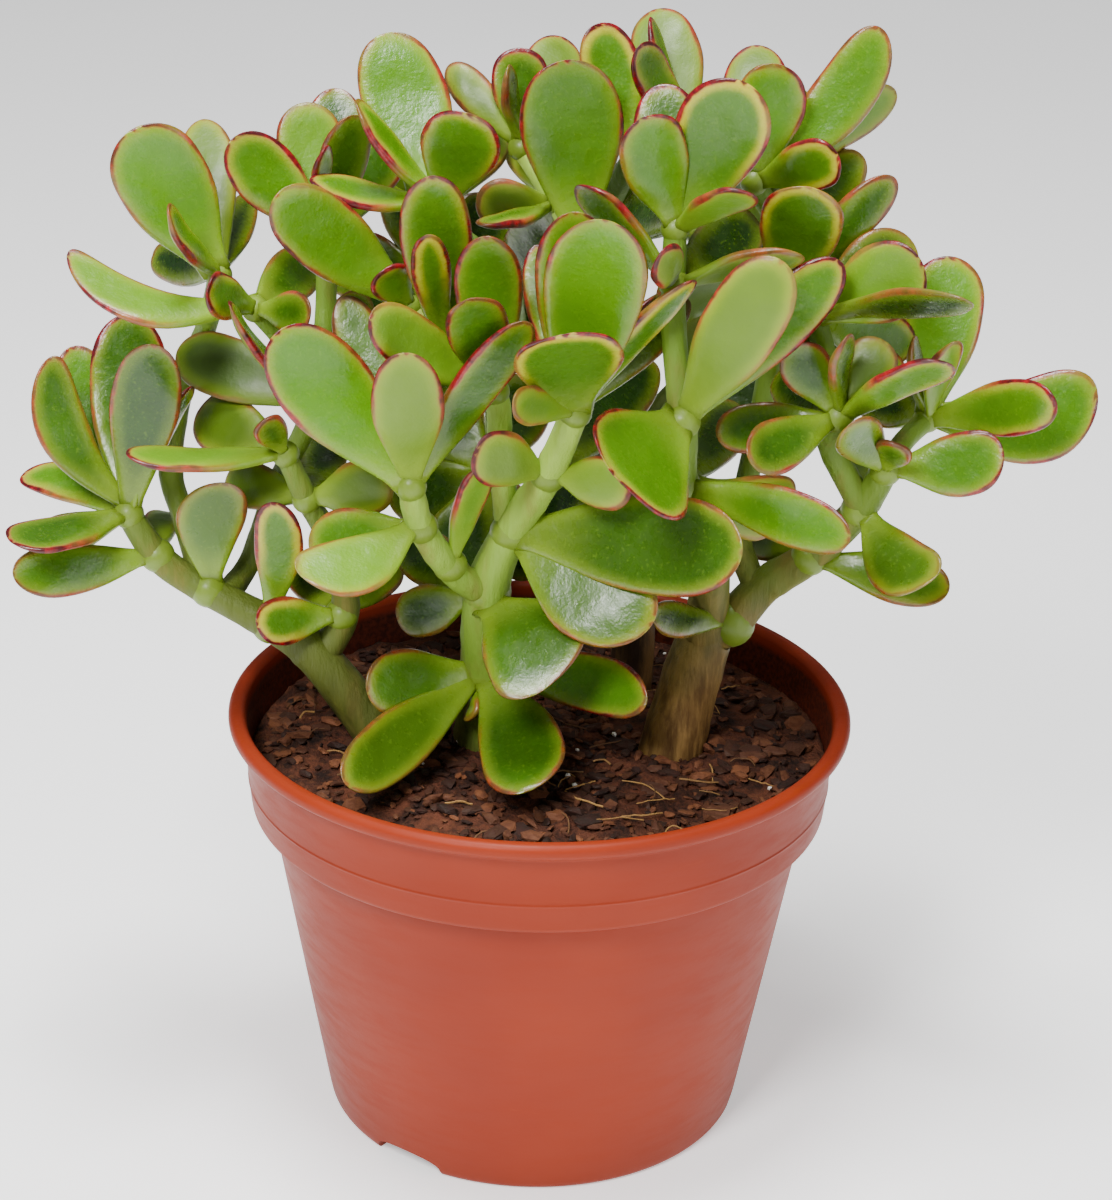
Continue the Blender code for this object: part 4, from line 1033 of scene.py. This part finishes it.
def stem_shape(branch, random, sides, ridges):
    """Points and faces of a stem with ring scars at its old nodes, and ridges on old bark."""
    points, radii = branch_points(branch, STEM_STEPS)
    travelled = 0.0
    phase = random.uniform(0, 2 * math.pi, 6)
    spacing = random.uniform(13, 19)
    rings = []
    last = points[0]
    for radius, (point, turned, third) in zip(radii, along_line(points)):
        travelled += (point - last).length
        last = point
        to_ring = abs((travelled + phase[0]) % spacing - spacing / 2)
        scar = 0.055 * math.exp(-(to_ring / 1.6) ** 2) - 0.02
        for corner in range(sides):
            angle = 2 * math.pi * corner / sides
            lobes = 0.035 * math.sin(2 * angle + phase[1] + travelled * 0.02)
            lobes += 0.02 * math.sin(5 * angle + phase[2] + travelled * 0.07)
            lobes += ridges * math.sin(9 * angle + phase[3] + 1.5 * math.sin(travelled * 0.09))
            reach = radius * (1 + scar + lobes)
            rings.append(point + (turned * math.cos(angle) + third * math.sin(angle)) * reach)
    return np.array([ring[:] for ring in rings]), ring_faces(len(points), sides)


def make_stems():
    """Each cutting's branches in one piece: two are green, and two are old wood with ridged bark."""
    # the look's name, where its bark ends and how softly, then two greens (the low one darkened as painted
    # shade) and two barks
    looks = {
        "stem_left": ("left_stem", 0.118, 0.03, (82, 92, 24), (104, 136, 32), (60, 56, 22), (108, 106, 46)),
        "stem_middle": ("middle_stem", 0.116, 0.02, (110, 142, 38), (158, 190, 68), (60, 58, 24),
                        (116, 112, 50)),
        "stem_right": ("trunk", 0.150, 0.03, (84, 98, 24), (100, 132, 30), (84, 56, 20), (150, 116, 62)),
        "stem_back": ("back_stem", 0.172, 0.04, (66, 78, 20), (84, 112, 24), (50, 32, 16), (112, 82, 42)),
    }
    old_wood = ("stem_right", "stem_back")
    for number, (name, branches) in enumerate(CUTTINGS.items()):
        random = np.random.default_rng(STEM_SEED + number)
        look, bark_top, blend, *colours = looks[name]
        finish = stem_material(look, bark_top, blend, *(linear(*colour) for colour in colours))
        shapes = []
        for order, branch in enumerate(branches):
            ridges = 0.02 if order == 0 and name in old_wood else 0.0
            shapes.append(stem_shape(branch, random, BRANCH_SIDES if order else STEM_SIDES, ridges))
        made = solid(name + "_fine", *joined(shapes), finish)
        stand_in(made, name)


def lathe(name, profile, sides, finish):
    """A closed smooth body turned round Z from points (radius, height) that start and end on the axis."""
    angles = np.linspace(0, 2 * math.pi, sides, endpoint=False)
    points, faces = [(0, 0, profile[0][1])], []
    for radius, height in profile[1:-1]:
        points += [(radius * math.cos(angle), radius * math.sin(angle), height) for angle in angles]
    points.append((0, 0, profile[-1][1]))
    rings = len(profile) - 2
    for corner in range(sides):
        after = (corner + 1) % sides
        faces.append((0, 1 + after, 1 + corner))
        faces.append((len(points) - 1, 1 + (rings - 1) * sides + corner, 1 + (rings - 1) * sides + after))
        for ring in range(rings - 1):
            low, high = 1 + ring * sides, 1 + (ring + 1) * sides
            faces.append((low + corner, low + after, high + after, high + corner))
    return solid(name, points, faces, finish)


def rounded(corners, radius=0.9, steps=3):
    """The profile with each of its inner corners rounded."""
    made = [corners[0]]
    for before, corner, after in zip(corners, corners[1:], corners[2:]):
        spot, back, on = Vector(corner), Vector(before) - Vector(corner), Vector(after) - Vector(corner)
        reach = min(radius, 0.45 * back.length, 0.45 * on.length)
        start, end = spot + back.normalized() * reach, spot + on.normalized() * reach
        for step in range(steps + 1):
            t = step / steps
            made.append(tuple(start * (1 - t) ** 2 + spot * 2 * t * (1 - t) + end * t ** 2))
    return made + [corners[-1]]


def make_pot():
    """The pot as one turned wall, with its collar, seam and lip, and with notches cut in its foot."""
    shoulder, collar, under_lip = pot_levels()[1:]
    seam = collar[1] + SEAM_SHARE * COLLAR_HEIGHT
    seam_radius = collar[0] + (under_lip[0] - collar[0]) * (seam - collar[1]) / (under_lip[1] - collar[1])
    outer = [
        (0, 0.0), (FOOT_RADIUS - 1.2, 0.0), (FOOT_RADIUS, 1.2), (FOOT_RADIUS + 0.5, 3.2), shoulder,
        (shoulder[0] + 0.2, collar[1]), (collar[0] - 0.6, collar[1]), (collar[0], collar[1] + 1.0),
        (seam_radius, seam - SEAM_HALF), (seam_radius + SEAM_PROUD, seam), (seam_radius, seam + SEAM_HALF),
        under_lip,
        (RIM_RADIUS - 0.8, POT_HEIGHT - LIP_HEIGHT), (RIM_RADIUS, POT_HEIGHT - LIP_HEIGHT + 1.0),
        (RIM_RADIUS, POT_HEIGHT - LIP_ROUND), (RIM_RADIUS - LIP_ROUND, POT_HEIGHT),
        (RIM_RADIUS - LIP_WIDTH + LIP_ROUND, POT_HEIGHT),
    ]
    inner = [
        (RIM_RADIUS - LIP_WIDTH, POT_HEIGHT - LIP_ROUND), (under_lip[0] - WALL, under_lip[1] - 1.0),
        (collar[0] - WALL, collar[1] + 1.4 * WALL), (shoulder[0] - WALL, collar[1] + WALL),
        (FOOT_RADIUS - WALL, FLOOR), (0, FLOOR),
    ]
    pot = lathe("pot_fine", rounded(outer + inner), POT_SIDES, pot_material())
    cut(pot, [notch(FIRST_NOTCH + 2 * math.pi * number / NOTCHES) for number in range(NOTCHES)])
    pot.data.shade_smooth()
    pot.data.set_sharp_from_angle(angle=math.radians(38))
    stand_in(pot, "pot")


def make_mix():
    """The plug of mix, with a lumpy top, and the chips, fibres and perlite that lie on it."""
    random = np.random.default_rng(MIX_SEED)
    foot, shoulder, collar, under_lip = pot_levels()
    rise = (SOIL_TOP - collar[1]) / (under_lip[1] - collar[1])
    edge = collar[0] + (under_lip[0] - collar[0]) * rise - WALL - GAP
    profile = [
        (0, FLOOR + GAP), (foot[0] - WALL - 1.0, FLOOR + GAP),
        (shoulder[0] - WALL - 0.6, collar[1] + WALL + 1),
        (collar[0] - WALL - 0.8, collar[1] + 1.4 * WALL + 1), (edge, SOIL_TOP - 1.2),
    ]
    profile += [(edge * share, SOIL_TOP) for share in np.linspace(0.992, 0.02, PLUG_RINGS)] + [(0, SOIL_TOP)]
    plug = lathe("mix_fine", profile, PLUG_SIDES, mix_material())
    spots = np.empty(len(plug.data.vertices) * 3)
    plug.data.vertices.foreach_get("co", spots)
    spots = spots.reshape(-1, 3) / MM
    top = spots[:, 2] > SOIL_TOP - 0.01
    x, y = spots[top, 0], spots[top, 1]
    lumps = 0.55 * np.sin(x * 0.9 + 2 * np.sin(y * 0.31)) * np.sin(y * 0.83 + 1.7 * np.sin(x * 0.37))
    lumps += 0.35 * np.sin(x * 2.1 + y * 0.7) * np.sin(y * 1.9 - x * 0.4)
    lumps += random.uniform(-0.25, 0.25, len(x))
    spots[top, 2] = [soil_height(a, b) for a, b in zip(x, y)] + lumps - 0.8
    plug.data.vertices.foreach_set("co", (spots * MM).ravel())
    plug.data.update()
    stand_in(plug, "soil")
    scatter_chips(random, edge)
    scatter_fibres(random, edge)
    scatter_grains(random, edge)


def random_spot(random, edge):
    """An even random point on the mix."""
    reach = edge * math.sqrt(random.uniform(0, 1))
    angle = random.uniform(0, 2 * math.pi)
    x, y = reach * math.cos(angle), reach * math.sin(angle)
    return x, y, soil_height(x, y)


def lump(random, size):
    """Points and faces of one rough lump with the given half sizes."""
    points, faces = ball_shape(1, 1)
    points = np.sign(points) * np.abs(points) ** 0.8
    points *= random.uniform(0.72, 1.12, (len(points), 1))
    return points * size, faces


def turned_at_random(points, random, tilt):
    """The points turned by any angle about Z and tilted by up to the given angle."""
    turn = Matrix.Rotation(random.uniform(0, 2 * math.pi), 3, "Z")
    turn = turn @ Matrix.Rotation(random.normal(0, tilt), 3, "X")
    return points @ np.array(turn).T


def lay_on_mix(name, shapes, finish, tones=None):
    """One flat-shaded piece made of many small shapes, each with its own tone."""
    made = solid(name, *joined(shapes), finish)
    made.data.shade_flat()
    if tones:
        counts = [len(points) for points, faces in shapes]
        values = [(tone, tone, tone, 1.0) for tone in tones]
        colour_attribute(made, "chip_tone", np.repeat(values, counts, axis=0))
    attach(made, "root")


def scatter_chips(random, edge):
    shapes, tones = [], []
    for _ in range(CHIPS):
        x, y, z = random_spot(random, edge - 3.2)
        long = min(random.gamma(2.6, 0.62) + 0.5, CHIP_LONGEST)
        size = np.array((long, long * random.uniform(0.35, 0.8), long * random.uniform(0.15, 0.42)))
        points, faces = lump(random, size)
        shapes.append((turned_at_random(points, random, 0.45) + (x, y, z + size[2] * 0.25 - 0.3), faces))
        tones.append(random.uniform(0, 1) ** 1.8)
    lay_on_mix("bark_chips", shapes, chip_material(), tones)


def scatter_fibres(random, edge):
    shapes, tones = [], []
    for _ in range(FIBRES):
        x, y, z = random_spot(random, edge - 9)
        heading = random.uniform(0, 2 * math.pi)
        length, bend = random.uniform(5, 15), random.normal(0, 0.35)
        line = []
        for step in range(FIBRE_POINTS):
            t = step / (FIBRE_POINTS - 1)
            angle = heading + bend * t * 2
            reach = length * (t - 0.5)
            px, py = x + reach * math.cos(angle), y + reach * math.sin(angle)
            rise = 0.6 + 0.9 * math.sin(math.pi * t) * random.uniform(0.3, 1)
            line.append(Vector((px, py, soil_height(px, py) + rise)))
        width = random.uniform(0.12, 0.3)
        rings, faces = tube(line, [width] * FIBRE_POINTS, 5)
        shapes.append((np.array([ring[:] for ring in rings]), faces))
        tones.append(random.uniform(0, 1))
    lay_on_mix("straw_fibres", shapes, fibre_material(), tones)


def scatter_grains(random, edge):
    shapes = []
    for _ in range(GRAINS):
        x, y, z = random_spot(random, edge - 4)
        points, faces = lump(random, random.uniform(0.4, 1.0) * np.array((1, 0.85, 0.75)))
        shapes.append((turned_at_random(points, random, 0.6) + (x, y, z + 0.7), faces))
    lay_on_mix("perlite_grains", shapes, grain_material())


def make_floor():
    """A plain pale floor under the pot."""
    bpy.ops.mesh.primitive_plane_add(size=6, location=(0, 0, 0))
    floor = bpy.context.object
    floor.name = "floor"
    floor.data.materials.append(floor_material())


def area_light(name, spot, aim, size, power):
    light = bpy.data.lights.new(name, "AREA")
    light.shape = "RECTANGLE"
    light.size = light.size_y = size
    light.energy = power
    made = add_object(name, light)
    made.location = spot
    made.rotation_euler = (Vector(aim) - Vector(spot)).to_track_quat("-Z", "Y").to_euler()


def make_studio():
    """A pale world and three soft lights."""
    world = bpy.data.worlds.new("studio")
    world.use_nodes = True
    world.node_tree.nodes["Background"].inputs["Color"].default_value = (1, 1, 1, 1)
    world.node_tree.nodes["Background"].inputs["Strength"].default_value = 0.20
    bpy.context.scene.world = world
    aim = (0, 0, 0.17)
    area_light("key", (-0.36, -0.80, 0.98), aim, 0.34, 17)
    area_light("top", (-0.10, -0.12, 1.35), aim, 0.42, 24)
    area_light("fill", (0.95, -0.9, 0.5), aim, 0.6, 4)


def make_camera():
    """The camera where the plan is looked at from."""
    lens = bpy.data.cameras.new("camera")
    lens.lens = CAMERA_LENS
    lens.shift_x = CAMERA_SHIFT
    lens.clip_start = 0.05
    made = add_object("camera", lens)
    turn = Matrix((RIGHT, UPWARD, TO_EYE)).transposed() @ Matrix.Rotation(CAMERA_ROLL, 3, "Z")
    made.matrix_world = Matrix.Translation(EYE * MM) @ turn.to_4x4()
    bpy.context.scene.camera = made


def main():
    make_floor()
    make_studio()
    make_camera()
    make_pot()
    make_mix()
    make_stems()
    leaves, nodes = plan()
    make_leaves(leaves, nodes)
    bpy.context.view_layer.update()


main()
